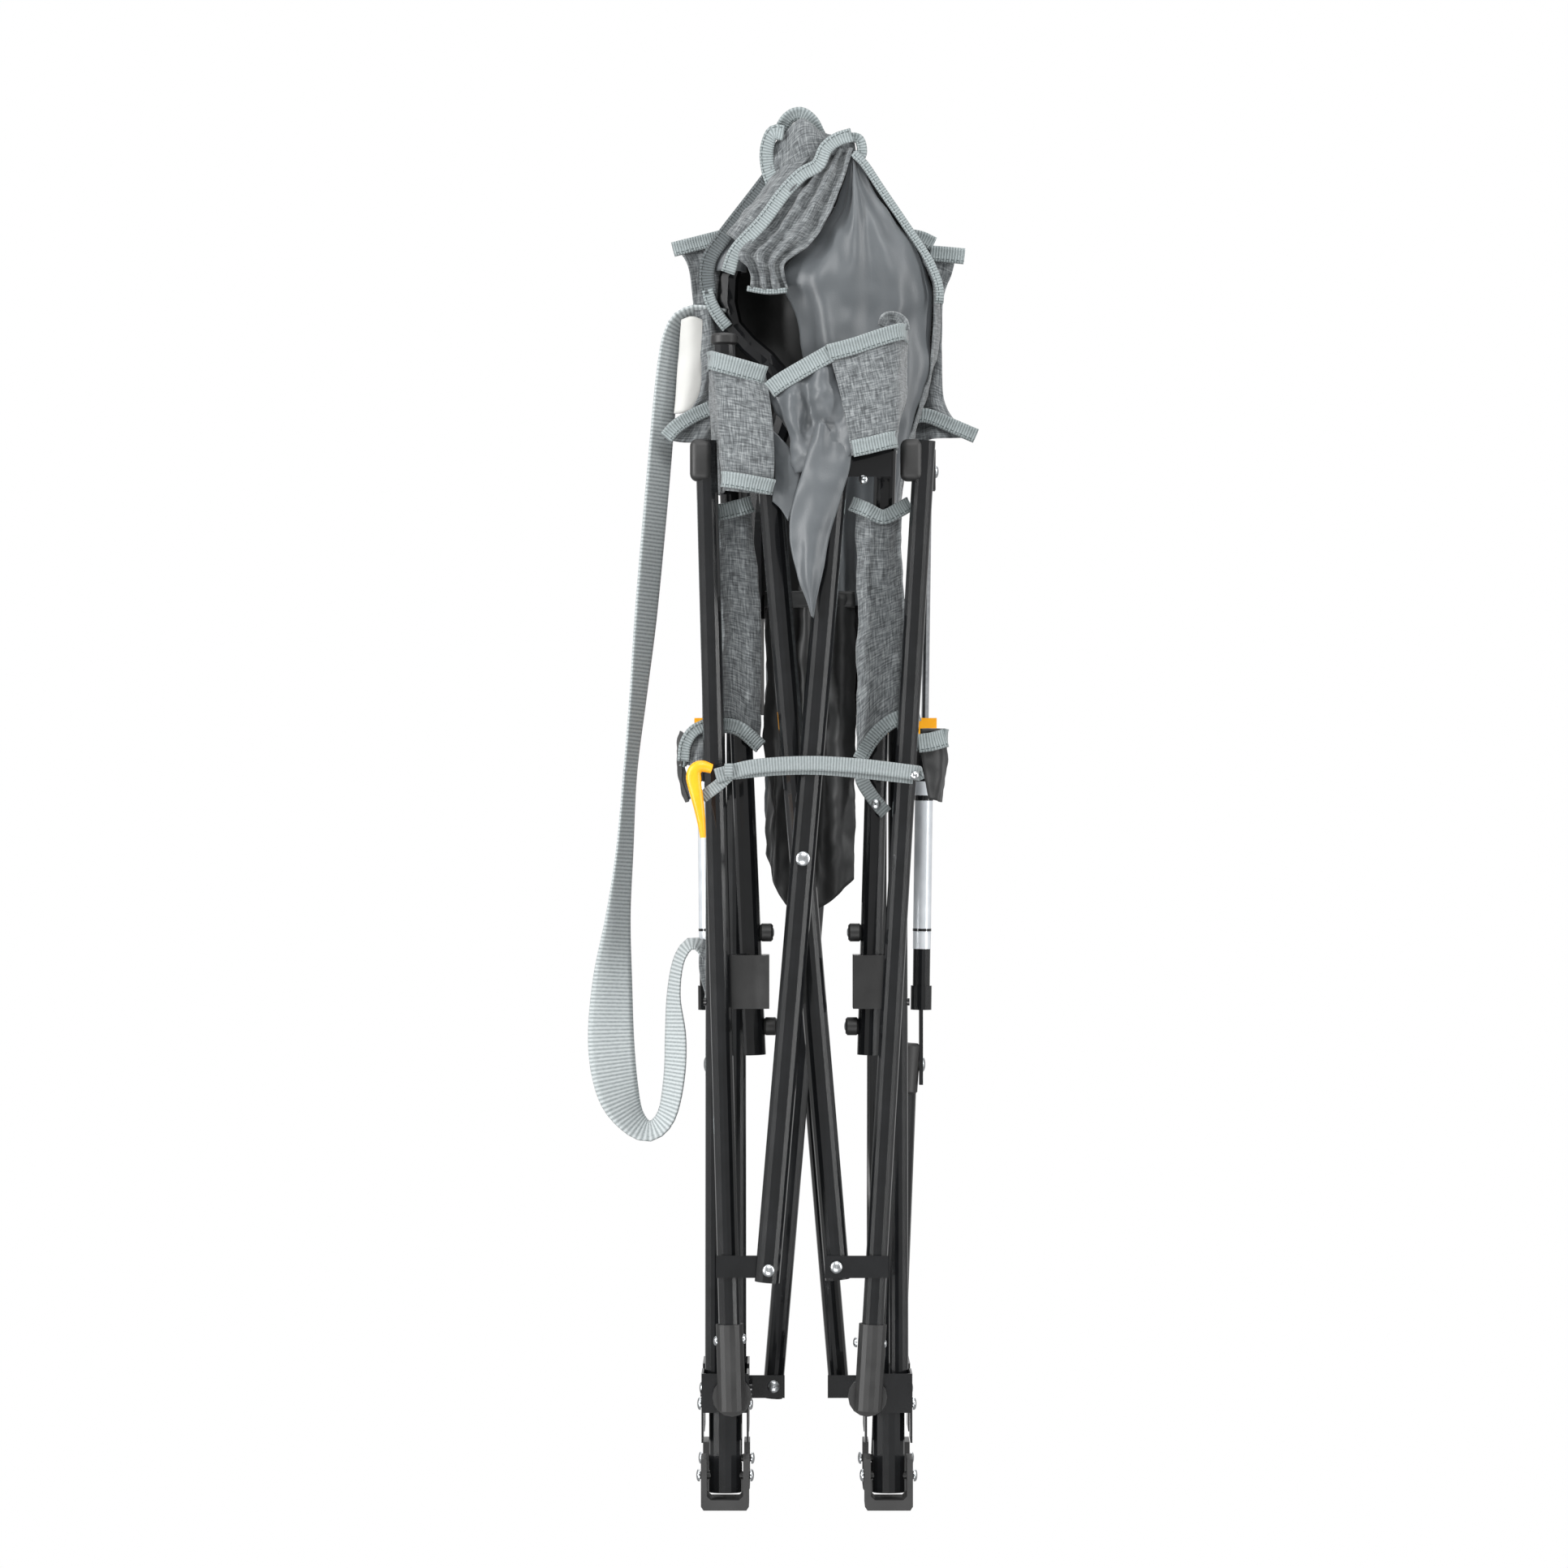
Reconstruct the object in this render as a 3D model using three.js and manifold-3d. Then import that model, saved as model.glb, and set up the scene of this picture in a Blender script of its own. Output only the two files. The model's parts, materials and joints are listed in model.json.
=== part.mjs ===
// Folding camp chair, folded and standing on its four feet. Millimetres, +Z up, front towards -Y.
//
// Four corner legs stay upright. Each neighbouring pair of legs is joined by a scissor of two equal tubes,
// so the legs part along X and Y together while the arm posts and back canes ride down.
import * as THREE from "three";
import { mergeVertices } from "three/addons/utils/BufferGeometryUtils.js";
import Module from "manifold-3d";

const wasm = await Module();
wasm.setup();

// ---- driving dimensions -------------------------------------------------------------------------------
const GAP = 0.4; // between pieces that touch
const PIN_CLEARANCE = 0.5; // between a pin and its hole, on the radius
const SIDES = 16; // facets round a tube
const WALL = 1.2; // steel tube wall
const PLATE = 1.5; // folded bracket plate

const SCISSOR_HALF = 308; // pivot to crossing, the same on all eight scissor tubes
const SCISSOR_LEAN = 4.84; // degrees off upright when folded
const FRONT_SCISSOR_R = 9.5;
const SIDE_SCISSOR_R = 7.5;
const REAR_SCISSOR_R = 8;
const TUBE_END = 10; // tube left beyond a pivot
const SIDE_TUBE_END = 6.5; // shorter at the sides, where the tube ends turn close to the posts
const PIN_HEAD = 3.5; // pin standing proud of the tube it holds
const FRONT_PIVOT_Z = 188; // lower pivots of the front scissor
const SIDE_PIVOT_Z = 80; // lower pivots of the side and rear scissors

const LEG_SPACING = 125.5; // left foot to right foot, centre to centre
const CENTRE_X = 17.5; // middle of the frame; the carry strap hangs out on the left
const FRONT_FOOT_Y = -44;
const REAR_FOOT_Y = 60;
const STUB_HALF_X = 12.3; // flat-oval leg tube
const STUB_HALF_Y = 8;
const STUB_BOTTOM = 12;
const STUB_TOP = 96;
const REAR_LEG_TOP = 345;

const FOOT_HALF_X = STUB_HALF_X + 6.1;
const FOOT_HALF_Y = 17;
const FOOT_HEIGHT = 39.5;
const FOOT_BASE = 8;
const FOOT_CLEARANCE = 1.6; // each side of the leg tube
const FOOT_BOLT_Z = 25;
const FOOT_BOLT_R = 3;

const FRONT_LEG_R = 8.25;
const FRONT_LEG_Y = -71;
const FRONT_LEG_BOTTOM = 84;
const FRONT_LEG_TOP = 818;
const POST_R = 8.5;
const POST_Y = -45;
const POST_BOTTOM = 348;
const POST_TOP = 901;
const FRONT_BAR_Y = -93.5; // scissor tube A, nearest the viewer
const FRONT_BAR_BACK_Y = -71; // scissor tube B
const REAR_BAR_Y = 78;
const REAR_BAR_BACK_Y = 95.5;

const CANE_R = 8;
const CANE_Y = 44;
const CANE_BOTTOM = 610;
const CANE_KINK_Z = 871;
const CANE_POCKET_Z = 962;
const CANE_TOP = 1000;

const STRUT_R = 6.8;
const STRUT_BORE_R = 5.9;
const STRUT_COLLAR_R = 8.3;
const STRUT_COLLAR = 19;
const STRUT_Y = 64;
const STRUT_BOTTOM = 378;
const STRUT_TOP = 594;
const STRUT_ROD_R = 2.9;
const STRUT_CAP_HEIGHT = 14;
const STRUT_CAP_HALF = 9.1;
const STRUT_BLOCK_Z = 787;
const BLOCK_HEIGHT = 32;
const BLOCK_HALF_X = 5.5;

const PIN_R = 3;
const HUB_LOW = 51;
const HUB_HIGH = 104;
const HUB_HALF_X = STUB_HALF_X + 5.8;
const ELBOW_WALL = 2.35;
const ELBOW_R = FRONT_LEG_R + ELBOW_WALL;
const ELBOW_TOP = 144;
const ELBOW_BOTTOM = 78;
const DISC_R = 15;
const TAB_REACH = 9; // bracket plate beyond a pivot
const GUIDE_LOW = 384;
const GUIDE_HIGH = 425;
const GUIDE_WALL = 4;
const POST_TRAVEL = 148; // how far posts and canes ride down as the chair opens

const SEAT_HINGE_Z = 680;
const SEAT_HALF = 222; // seat cloth, from its fixed edge to its lowest fold
const SEAT_LEAN = 8.16; // degrees off upright when folded
const SEAT_HINGE_Y = 38.5;
const SEAT_THICK = 12;
const SEAT_HALF_WIDTH = 31.5;
const BACK_FRONT = -13;
const BACK_REAR = 33;
const ARM_FRONT_Y = [-104, -55];
const ARM_REAR_Y = [-34, BACK_FRONT - 2];
const SLEEVE_Y = [-61.5, POST_Y - POST_R - GAP];
const POCKET_Y = [-50, 30];
const STRAP_Z = 564; // the strap that holds the folded chair together
const STRAP_FRONT = -110.5;
const STRAP_THICK = 3;
const STRAP_HALF = 8;
const STRAP_LEFT = -59;
const STRAP_RIGHT = 103.6;
const HOOK_BACK = -105.6; // clear of the crossing rivet as the strap swings
const CARRY_Y = [37, 54];

// ---- derived places -----------------------------------------------------------------------------------
const rad = THREE.MathUtils.degToRad;
const PIVOT_HALF_GAP = SCISSOR_HALF * Math.sin(rad(SCISSOR_LEAN)); // pivots off the middle of a scissor
const SCISSOR_RISE = 2 * SCISSOR_HALF * Math.cos(rad(SCISSOR_LEAN));
const FRONT_SCISSOR_X = CENTRE_X - 3.5; // the front scissor sits a little left of the middle
const SIDE_GAP = 1.5;
const SIDE_OFFSET = SIDE_SCISSOR_R + SIDE_GAP / 2;
const v = (x, y, z) => new THREE.Vector3(x, y, z);

// ---- solids -------------------------------------------------------------------------------------------
function toSolid(geometry) {
  const plain = geometry.index ? geometry.toNonIndexed() : geometry.clone();
  plain.deleteAttribute("normal");
  plain.deleteAttribute("uv");
  const merged = mergeVertices(plain, 1e-4);
  return new wasm.Manifold(
    new wasm.Mesh({
      numProp: 3,
      vertProperties: merged.attributes.position.array,
      triVerts: new Uint32Array(merged.index.array),
    }),
  );
}

function toGeometry(solid) {
  const mesh = solid.getMesh();
  return new THREE.BufferGeometry()
    .setAttribute("position", new THREE.BufferAttribute(mesh.vertProperties, 3))
    .setIndex(new THREE.BufferAttribute(mesh.triVerts, 1));
}

const join = (...solids) => solids.reduce((whole, piece) => whole.add(piece));
const cut = (solid, ...tools) => tools.reduce((whole, tool) => whole.subtract(tool), solid);

// Each pair of limits may be given either way round.
function box(x0, x1, y0, y1, z0, z1) {
  const geometry = new THREE.BoxGeometry(Math.abs(x1 - x0), Math.abs(y1 - y0), Math.abs(z1 - z0));
  return toSolid(geometry.translate((x0 + x1) / 2, (y0 + y1) / 2, (z0 + z1) / 2));
}

// A closed bar or tube with an oval section, from one point to another.
function bar(from, to, radiusX, radiusY = radiusX, wall = 0) {
  const shape = new THREE.Shape().absellipse(0, 0, radiusX, radiusY, 0, 2 * Math.PI);
  if (wall > 0) {
    const bore = new THREE.Path().absellipse(0, 0, radiusX - wall, radiusY - wall, 0, 2 * Math.PI);
    shape.holes.push(bore);
  }
  const length = from.distanceTo(to);
  const settings = { depth: length, bevelEnabled: false, curveSegments: SIDES / 2 };
  const geometry = new THREE.ExtrudeGeometry(shape, settings);
  const along = to.clone().sub(from).normalize();
  geometry.applyQuaternion(new THREE.Quaternion().setFromUnitVectors(v(0, 0, 1), along));
  return toSolid(geometry.translate(from.x, from.y, from.z));
}

const rodX = (x0, x1, y, z, r) => bar(v(x0, y, z), v(x1, y, z), r);
const rodY = (y0, y1, x, z, r) => bar(v(x, y0, z), v(x, y1, z), r);

// A round tube along a bent route.
function bentTube(points, radius, wall) {
  const shape = new THREE.Shape().absarc(0, 0, radius, 0, 2 * Math.PI);
  shape.holes.push(new THREE.Path().absarc(0, 0, radius - wall, 0, 2 * Math.PI));
  const route = new THREE.CatmullRomCurve3(points, false, "chordal");
  const settings = { steps: 22, extrudePath: route, curveSegments: SIDES / 4, bevelEnabled: false };
  return toSolid(new THREE.ExtrudeGeometry(shape, settings));
}

// An outline in X and Z, extruded from y0 to y1.
function plate(outline, y0, y1) {
  const shape = new THREE.Shape(outline.map(([x, z]) => new THREE.Vector2(x, -z)));
  const geometry = new THREE.ExtrudeGeometry(shape, { depth: y1 - y0, bevelEnabled: false });
  return toSolid(geometry.rotateX(-Math.PI / 2).translate(0, y0, 0));
}

// ---- materials ----------------------------------------------------------------------------------------
const finish = (color, roughness, metalness) =>
  new THREE.MeshStandardMaterial({ color, roughness, metalness });
const blackSteel = finish(0x26272a, 0.35, 0.4);
const blackPlastic = finish(0x262626, 0.55, 0);
const yellowPlastic = finish(0xf9ab14, 0.45, 0);
const silverSteel = finish(0xcfd3d8, 0.3, 0.8);
const heather = finish(0x6a6c6e, 0.95, 0);
const coated = finish(0x5c5f62, 0.8, 0);
const webbing = finish(0x2b2c2f, 0.9, 0);
const paleWebbing = finish(0x9aa0a2, 0.9, 0);

const chair = new THREE.Group();
function piece(name, solid, material) {
  const mesh = new THREE.Mesh(toGeometry(solid), material);
  mesh.name = name;
  chair.add(mesh);
}

// ---- scissor tubes ------------------------------------------------------------------------------------
// side is +1 for a tube that leans towards +across, -1 for one that leans back.
function scissorEnds(middle, low, side, place, overrun = TUBE_END) {
  const bottom = place(middle - side * PIVOT_HALF_GAP, low);
  const top = place(middle + side * PIVOT_HALF_GAP, low + SCISSOR_RISE);
  const along = top.clone().sub(bottom).normalize();
  return {
    bottom,
    top,
    centre: bottom.clone().add(top).multiplyScalar(0.5),
    from: bottom.clone().addScaledVector(along, -overrun),
    to: top.clone().addScaledVector(along, overrun),
  };
}

function scissorTube(ends, radius, holes) {
  const tube = bar(ends.from, ends.to, radius, radius, WALL);
  return cut(tube, ...holes.map((hole) => hole(PIN_R + PIN_CLEARANCE, radius + 2)));
}

const acrossX = (y) => (x, z) => v(x, y, z);
const acrossY = (x) => (y, z) => v(x, y, z);
const holeAlongY = (p) => (r, reach) => rodY(p.y - reach, p.y + reach, p.x, p.z, r);
const holeAlongX = (p) => (r, reach) => rodX(p.x - reach, p.x + reach, p.y, p.z, r);

const A = scissorEnds(FRONT_SCISSOR_X, FRONT_PIVOT_Z, 1, acrossX(FRONT_BAR_Y));
const B = scissorEnds(FRONT_SCISSOR_X, FRONT_PIVOT_Z, -1, acrossX(FRONT_BAR_BACK_Y));
const C = scissorEnds(CENTRE_X, SIDE_PIVOT_Z, 1, acrossX(REAR_BAR_Y));
const D = scissorEnds(CENTRE_X, SIDE_PIVOT_Z, -1, acrossX(REAR_BAR_BACK_Y));

// The crossing rivet is part of the nearer tube and turns in a hole in the farther one.
function crossedPair(near, far, nameNear, nameFar, radius) {
  const ends = [near.bottom, near.top].map(holeAlongY);
  const farEnds = [far.bottom, far.centre, far.top].map(holeAlongY);
  const head = near.centre.y - radius - 2;
  const tail = far.centre.y + radius + 2;
  const rivet = rodY(head, tail, near.centre.x, near.centre.z, PIN_R);
  piece(nameNear, join(scissorTube(near, radius, ends), rivet), blackSteel);
  piece(nameFar, scissorTube(far, radius, farEnds), blackSteel);
}
crossedPair(A, B, "front_scissor_a", "front_scissor_b", FRONT_SCISSOR_R);
crossedPair(C, D, "rear_scissor_c", "rear_scissor_d", REAR_SCISSOR_R);

// ---- one side of the chair ----------------------------------------------------------------------------
// s is -1 for the left side and +1 for the right. Lean is how far a tube's top stands outwards.
const sides = {
  left: {
    s: -1,
    legTop: -59.5,
    legFoot: -40,
    postTop: -46,
    postFoot: -22.4,
    rearTop: -45.2,
    strutTop: -61.5,
    strutFoot: -59.5,
  },
  right: {
    s: 1,
    legTop: 107.4,
    legFoot: 64.3,
    postTop: 80.5,
    postFoot: 64.6,
    rearTop: 93,
    strutTop: 111,
    strutFoot: 108,
  },
};

function lineAt(low, high, z) {
  return low.clone().lerp(high, (z - low.z) / (high.z - low.z));
}

function buildFoot(name, x, y) {
  const half = FOOT_HALF_X;
  const inner = STUB_HALF_X + FOOT_CLEARANCE;
  const fillet = 3;
  const outline = [
    [-half + 2, 0],
    [half - 2, 0],
    [half, 3],
    [half, FOOT_HEIGHT],
    [inner, FOOT_HEIGHT],
    [inner, FOOT_BASE + fillet],
    [inner - fillet, FOOT_BASE],
    [fillet - inner, FOOT_BASE],
    [-inner, FOOT_BASE + fillet],
    [-inner, FOOT_HEIGHT],
    [-half, FOOT_HEIGHT],
    [-half, 3],
  ].map(([px, pz]) => [px + x, pz]);
  const shell = plate(outline, y - FOOT_HALF_Y, y + FOOT_HALF_Y);
  const bolt = rodX(x - half - 2.4, x + half + 2.4, y, FOOT_BOLT_Z, FOOT_BOLT_R);
  piece(name, join(shell, bolt), blackPlastic);
}

function buildLegTube(x, y, topX, top, extraHoles) {
  const tube = bar(v(x, y, STUB_BOTTOM), v(topX, y, top), STUB_HALF_X, STUB_HALF_Y, WALL);
  const boltHole = rodX(x - 20, x + 20, y, FOOT_BOLT_Z, FOOT_BOLT_R + PIN_CLEARANCE);
  return cut(tube, boltHole, ...extraHoles);
}

// A channel round an upright tube: two cheeks, one cross web, and the axle of a side scissor.
function buildHub(x, y, webY, farY, axleY) {
  const cheek = (side) => {
    const outer = x + side * HUB_HALF_X;
    return box(outer, outer - side * PLATE, webY, farY, HUB_LOW, HUB_HIGH);
  };
  const web = box(x - HUB_HALF_X, x + HUB_HALF_X, webY, webY + Math.sign(farY - webY) * PLATE, 74, HUB_HIGH);
  const axle = rodX(x - HUB_HALF_X - 2, x + HUB_HALF_X + 2, axleY, SIDE_PIVOT_Z, PIN_R);
  const clamp = rodX(x - HUB_HALF_X - 2, x + HUB_HALF_X + 2, y, SIDE_PIVOT_Z, PIN_R);
  return join(cheek(-1), cheek(1), web, axle, clamp);
}

function buildSide(side, d) {
  const s = d.s;
  const footX = CENTRE_X + (s * LEG_SPACING) / 2;
  const outerX = footX + s * SIDE_OFFSET;
  const innerX = footX - s * SIDE_OFFSET;
  const hubHole = (y) => rodX(footX - 20, footX + 20, y, SIDE_PIVOT_Z, PIN_R + PIN_CLEARANCE);

  // Side scissor: the outer tube starts at the front hub, the inner one at the rear hub.
  const E = scissorEnds(0, SIDE_PIVOT_Z, 1, acrossY(outerX), SIDE_TUBE_END);
  const F = scissorEnds(0, SIDE_PIVOT_Z, -1, acrossY(innerX), SIDE_TUBE_END);
  const outerHoles = [E.bottom, E.top].map(holeAlongX);
  const innerHoles = [F.bottom, F.centre, F.top].map(holeAlongX);
  const rivetOut = outerX + s * (SIDE_SCISSOR_R + 1.5);
  const rivetIn = innerX - s * (SIDE_SCISSOR_R + 1.5);
  const rivet = rodX(rivetOut, rivetIn, 0, E.centre.z, PIN_R);
  piece(side + "_scissor_outer", join(scissorTube(E, SIDE_SCISSOR_R, outerHoles), rivet), blackSteel);
  piece(side + "_scissor_inner", scissorTube(F, SIDE_SCISSOR_R, innerHoles), blackSteel);

  // Feet, the short front stub, the rear leg, and the hubs bolted to them.
  buildFoot("foot_front_" + side, footX, FRONT_FOOT_Y);
  buildFoot("foot_rear_" + side, footX, REAR_FOOT_Y);
  const stub = buildLegTube(footX, FRONT_FOOT_Y, footX, STUB_TOP, [hubHole(FRONT_FOOT_Y)]);
  piece("front_stub_" + side, stub, blackSteel);
  const rearLeg = buildLegTube(footX, REAR_FOOT_Y, d.rearTop, REAR_LEG_TOP, [hubHole(REAR_FOOT_Y)]);
  piece("rear_leg_" + side, rearLeg, blackSteel);
  const frontWebY = FRONT_FOOT_Y - STUB_HALF_Y - GAP - PLATE;
  const hub = buildHub(footX, FRONT_FOOT_Y, frontWebY, -PIVOT_HALF_GAP + 9, -PIVOT_HALF_GAP);
  piece("front_hub_" + side, hub, blackSteel);

  // Rear hub, with a tab that carries the lower end of a rear scissor tube.
  const rearWebY = REAR_FOOT_Y + STUB_HALF_Y + GAP + PLATE;
  const rearBar = s < 0 ? C : D;
  const pivotX = rearBar.bottom.x;
  const tabZ = [SIDE_PIVOT_Z - TAB_REACH, SIDE_PIVOT_Z + TAB_REACH];
  const tab = box(footX, pivotX - s * TAB_REACH, rearWebY - PLATE, rearWebY, ...tabZ);
  const pin = rodY(rearWebY - PLATE, rearBar.bottom.y + REAR_SCISSOR_R + 2, pivotX, SIDE_PIVOT_Z, PIN_R);
  const rearHub = buildHub(footX, REAR_FOOT_Y, rearWebY, PIVOT_HALF_GAP - 9, PIVOT_HALF_GAP);
  piece("rear_hub_" + side, join(rearHub, tab, pin), blackSteel);

  // Front leg in its moulded elbow, which turns on a disc bolted to the hub.
  const legLow = v(d.legFoot, FRONT_LEG_Y, FRONT_LEG_BOTTOM);
  const legHigh = v(d.legTop, FRONT_LEG_Y, FRONT_LEG_TOP);
  piece("front_leg_" + side, bar(legLow, legHigh, FRONT_LEG_R, FRONT_LEG_R, WALL), blackSteel);
  const elbowLow = lineAt(legLow, legHigh, ELBOW_BOTTOM);
  const elbowHigh = lineAt(legLow, legHigh, ELBOW_TOP);
  const socketTop = lineAt(legLow, legHigh, ELBOW_TOP + 5);
  const socket = bar(lineAt(legLow, legHigh, FRONT_LEG_BOTTOM - 1), socketTop, FRONT_LEG_R + GAP);
  const discX = elbowLow.x;
  const disc = rodY(FRONT_LEG_Y + 9, frontWebY - GAP, discX, ELBOW_BOTTOM + 9, DISC_R);
  piece("front_elbow_" + side, join(cut(bar(elbowLow, elbowHigh, ELBOW_R), socket), disc), blackPlastic);

  // Bracket that carries the lower end of a front scissor tube.
  const frontBar = s < 0 ? A : B;
  const legAtPivot = lineAt(legLow, legHigh, FRONT_PIVOT_Z);
  const plateBack = frontBar.bottom.y + FRONT_SCISSOR_R;
  const plateFace = s < 0 ? FRONT_LEG_Y - FRONT_LEG_R : frontBar.bottom.y - FRONT_SCISSOR_R;
  const plateY = plateFace - GAP - PLATE;
  const plateX = [frontBar.bottom.x - s * TAB_REACH, legAtPivot.x + s * TAB_REACH];
  const plateZ = [FRONT_PIVOT_Z - 8, FRONT_PIVOT_Z + TAB_REACH];
  const pinFront = frontBar.bottom.y - FRONT_SCISSOR_R - PIN_HEAD;
  const pinBack = Math.max(plateY + PLATE, plateBack);
  const pivotPin = rodY(pinFront, pinBack, frontBar.bottom.x, FRONT_PIVOT_Z, PIN_R);
  const bracketPlate = box(...plateX, plateY, plateY + PLATE, ...plateZ);
  piece("front_bracket_" + side, join(bracketPlate, pivotPin), blackSteel);

  // Arm post, with the axle of the inner side scissor tube.
  const postLow = v(d.postFoot, POST_Y, POST_BOTTOM);
  const postHigh = v(d.postTop, POST_Y, POST_TOP);
  const postAt = (z) => lineAt(postLow, postHigh, z).x;
  const axleZ = F.top.z;
  const axleY = F.top.y;
  const lugOuter = innerX - s * (SIDE_SCISSOR_R + GAP);
  const lugInner = lugOuter - s * PLATE;
  const lugZ = [axleZ - 8, axleZ + 8];
  const lug = box(lugOuter, lugInner, POST_Y, axleY + 6, ...lugZ);
  const postSkin = postAt(axleZ) - s * (POST_R - WALL / 2);
  const bridge = box(postSkin, lugInner, POST_Y - 3, POST_Y + 3, ...lugZ);
  const postAxle = rodX(lugOuter, innerX + s * (SIDE_SCISSOR_R + 1), axleY, axleZ, PIN_R);
  const post = bar(postLow, postHigh, POST_R, POST_R, WALL);
  piece("post_" + side, join(post, lug, bridge, postAxle), blackSteel);

  // Guide sleeve: the leaning post slides straight down, so its slot is longer across than the tube.
  const slideShift = (postHigh.x - postLow.x) * (POST_TRAVEL / (POST_TOP - POST_BOTTOM));
  const guideX = (postAt(GUIDE_LOW) + postAt(GUIDE_HIGH)) / 2 + slideShift / 2;
  const guideHalf = POST_R + Math.abs(slideShift) / 2 + GUIDE_WALL + 1;
  const slotAt = (shift) => bar(
    lineAt(postLow, postHigh, GUIDE_LOW - 5).add(v(shift, 0, 0)),
    lineAt(postLow, postHigh, GUIDE_HIGH + 5).add(v(shift, 0, 0)),
    POST_R + GAP,
  );
  const slotBox = [guideX - slideShift / 2, guideX + slideShift / 2];
  const slot = join(
    slotAt(0),
    slotAt(slideShift),
    box(...slotBox, POST_Y - POST_R - GAP, POST_Y + POST_R + GAP, GUIDE_LOW - 5, GUIDE_HIGH + 5),
  );
  const guideFront = FRONT_LEG_Y + FRONT_LEG_R + GAP;
  const guideBlock = box(
    guideX - guideHalf,
    guideX + guideHalf,
    guideFront,
    POST_Y + POST_R + GUIDE_WALL,
    GUIDE_LOW,
    GUIDE_HIGH,
  );
  piece("guide_" + side, cut(guideBlock, slot), blackPlastic);

  // Bracket from the post to the top of a front scissor tube.
  const topBar = s < 0 ? B : A;
  const topZ = topBar.top.z;
  const wingY = topBar.top.y + FRONT_SCISSOR_R + GAP;
  const postFront = POST_Y - POST_R - GAP;
  const postX = postAt(topZ);
  const wing = box(topBar.top.x - s * TAB_REACH, postX + s * 4, wingY, wingY + PLATE, topZ - 12, topZ + 9);
  const web = box(postX - 6, postX + 4, wingY, postFront, topZ - 12, topZ + 9);
  const topPin = rodY(topBar.top.y - FRONT_SCISSOR_R - PIN_HEAD, wingY + PLATE, topBar.top.x, topZ, PIN_R);
  piece("post_bracket_" + side, join(wing, web, topPin), blackSteel);

  // Back cane: straight below, kinked outwards, then up into the pocket of the back.
  const canes = {
    low: CENTRE_X + s * 41,
    kink: CENTRE_X + s * 17,
    out: CENTRE_X + s * 60,
    top: CENTRE_X + s * 30,
  };
  const cane = bentTube(
    [
      v(canes.low, CANE_Y, CANE_BOTTOM),
      v(canes.low, CANE_Y, CANE_BOTTOM + 90),
      v(canes.low - s * 2, CANE_Y, 780),
      v(canes.kink, CANE_Y, CANE_KINK_Z),
      v(canes.out, CANE_Y, CANE_KINK_Z + 50),
      v(canes.out - s * 1, CANE_Y, CANE_POCKET_Z),
      v(canes.top, CANE_Y, CANE_TOP),
    ],
    CANE_R,
    WALL,
  );
  const caneLugX = outerX - s * (SIDE_SCISSOR_R + GAP);
  const caneLug = box(caneLugX, caneLugX - s * PLATE, E.top.y - 7, CANE_Y + 4, ...lugZ);
  const caneBridge = box(caneLugX, canes.low + s * (CANE_R - WALL / 2), CANE_Y, CANE_Y + 4, ...lugZ);
  const caneAxle = rodX(caneLugX, outerX + s * (SIDE_SCISSOR_R + 1), E.top.y, axleZ, PIN_R);
  const rearTop = s < 0 ? D.top : C.top;
  const rearPin = rodY(CANE_Y + CANE_R, rearTop.y + REAR_SCISSOR_R + 2, rearTop.x, rearTop.z, PIN_R);
  const rearTabY = CANE_Y + CANE_R;
  const rearTab = box(canes.low + s * 6, rearTop.x - s * 6, rearTabY - WALL, rearTabY + 2, ...lugZ);
  piece("cane_" + side, join(cane, caneLug, caneBridge, caneAxle, rearTab, rearPin), blackSteel);

  // Strut: cylinder and eye on the rear leg, rod and block on the cane.
  const strutLow = v(d.strutFoot, STRUT_Y, STRUT_BOTTOM);
  const strutHigh = v(d.strutTop, STRUT_Y, STRUT_TOP);
  const strutAt = (z) => lineAt(strutLow, strutHigh, z);
  const barrel = bar(strutLow, strutHigh, STRUT_R);
  const bore = bar(strutAt(STRUT_BOTTOM + 30), strutAt(STRUT_TOP + 5), STRUT_BORE_R);
  const collar = bar(strutLow, strutAt(STRUT_BOTTOM + STRUT_COLLAR), STRUT_COLLAR_R);
  const eyeX = d.rearTop + s * (STUB_HALF_X + GAP + PLATE * 1.5);
  const eye = box(eyeX - PLATE, eyeX + PLATE, STRUT_Y - 8, STRUT_Y + 8, REAR_LEG_TOP - 26, STRUT_BOTTOM + 4);
  piece("strut_cylinder_" + side, join(cut(barrel, bore), collar, eye), blackSteel);
  const rodLow = strutAt(STRUT_BOTTOM + POST_TRAVEL + 45);
  const rodHigh = strutAt(STRUT_BLOCK_Z);
  piece("strut_rod_" + side, bar(rodLow, rodHigh, STRUT_ROD_R), silverSteel);
  const capAt = strutAt(STRUT_TOP + STRUT_CAP_HEIGHT / 2).x;
  const capZ = [STRUT_TOP + GAP, STRUT_TOP + STRUT_CAP_HEIGHT];
  const capShell = box(capAt - STRUT_CAP_HALF, capAt + STRUT_CAP_HALF, STRUT_Y - 8, STRUT_Y + 8, ...capZ);
  const cap = cut(capShell, bar(strutAt(STRUT_TOP - 2), strutAt(STRUT_TOP + 20), STRUT_BORE_R));
  piece("strut_cap_" + side, cap, yellowPlastic);
  const blockAt = strutAt(STRUT_BLOCK_Z + GAP).x;
  const blockZ = [STRUT_BLOCK_Z + GAP, STRUT_BLOCK_Z + BLOCK_HEIGHT];
  const strutBlock = box(blockAt - BLOCK_HALF_X, blockAt + BLOCK_HALF_X, STRUT_Y - 14, STRUT_Y + 9, ...blockZ);
  piece("strut_block_" + side, strutBlock, blackPlastic);
}

buildSide("left", sides.left);
buildSide("right", sides.right);

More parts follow.
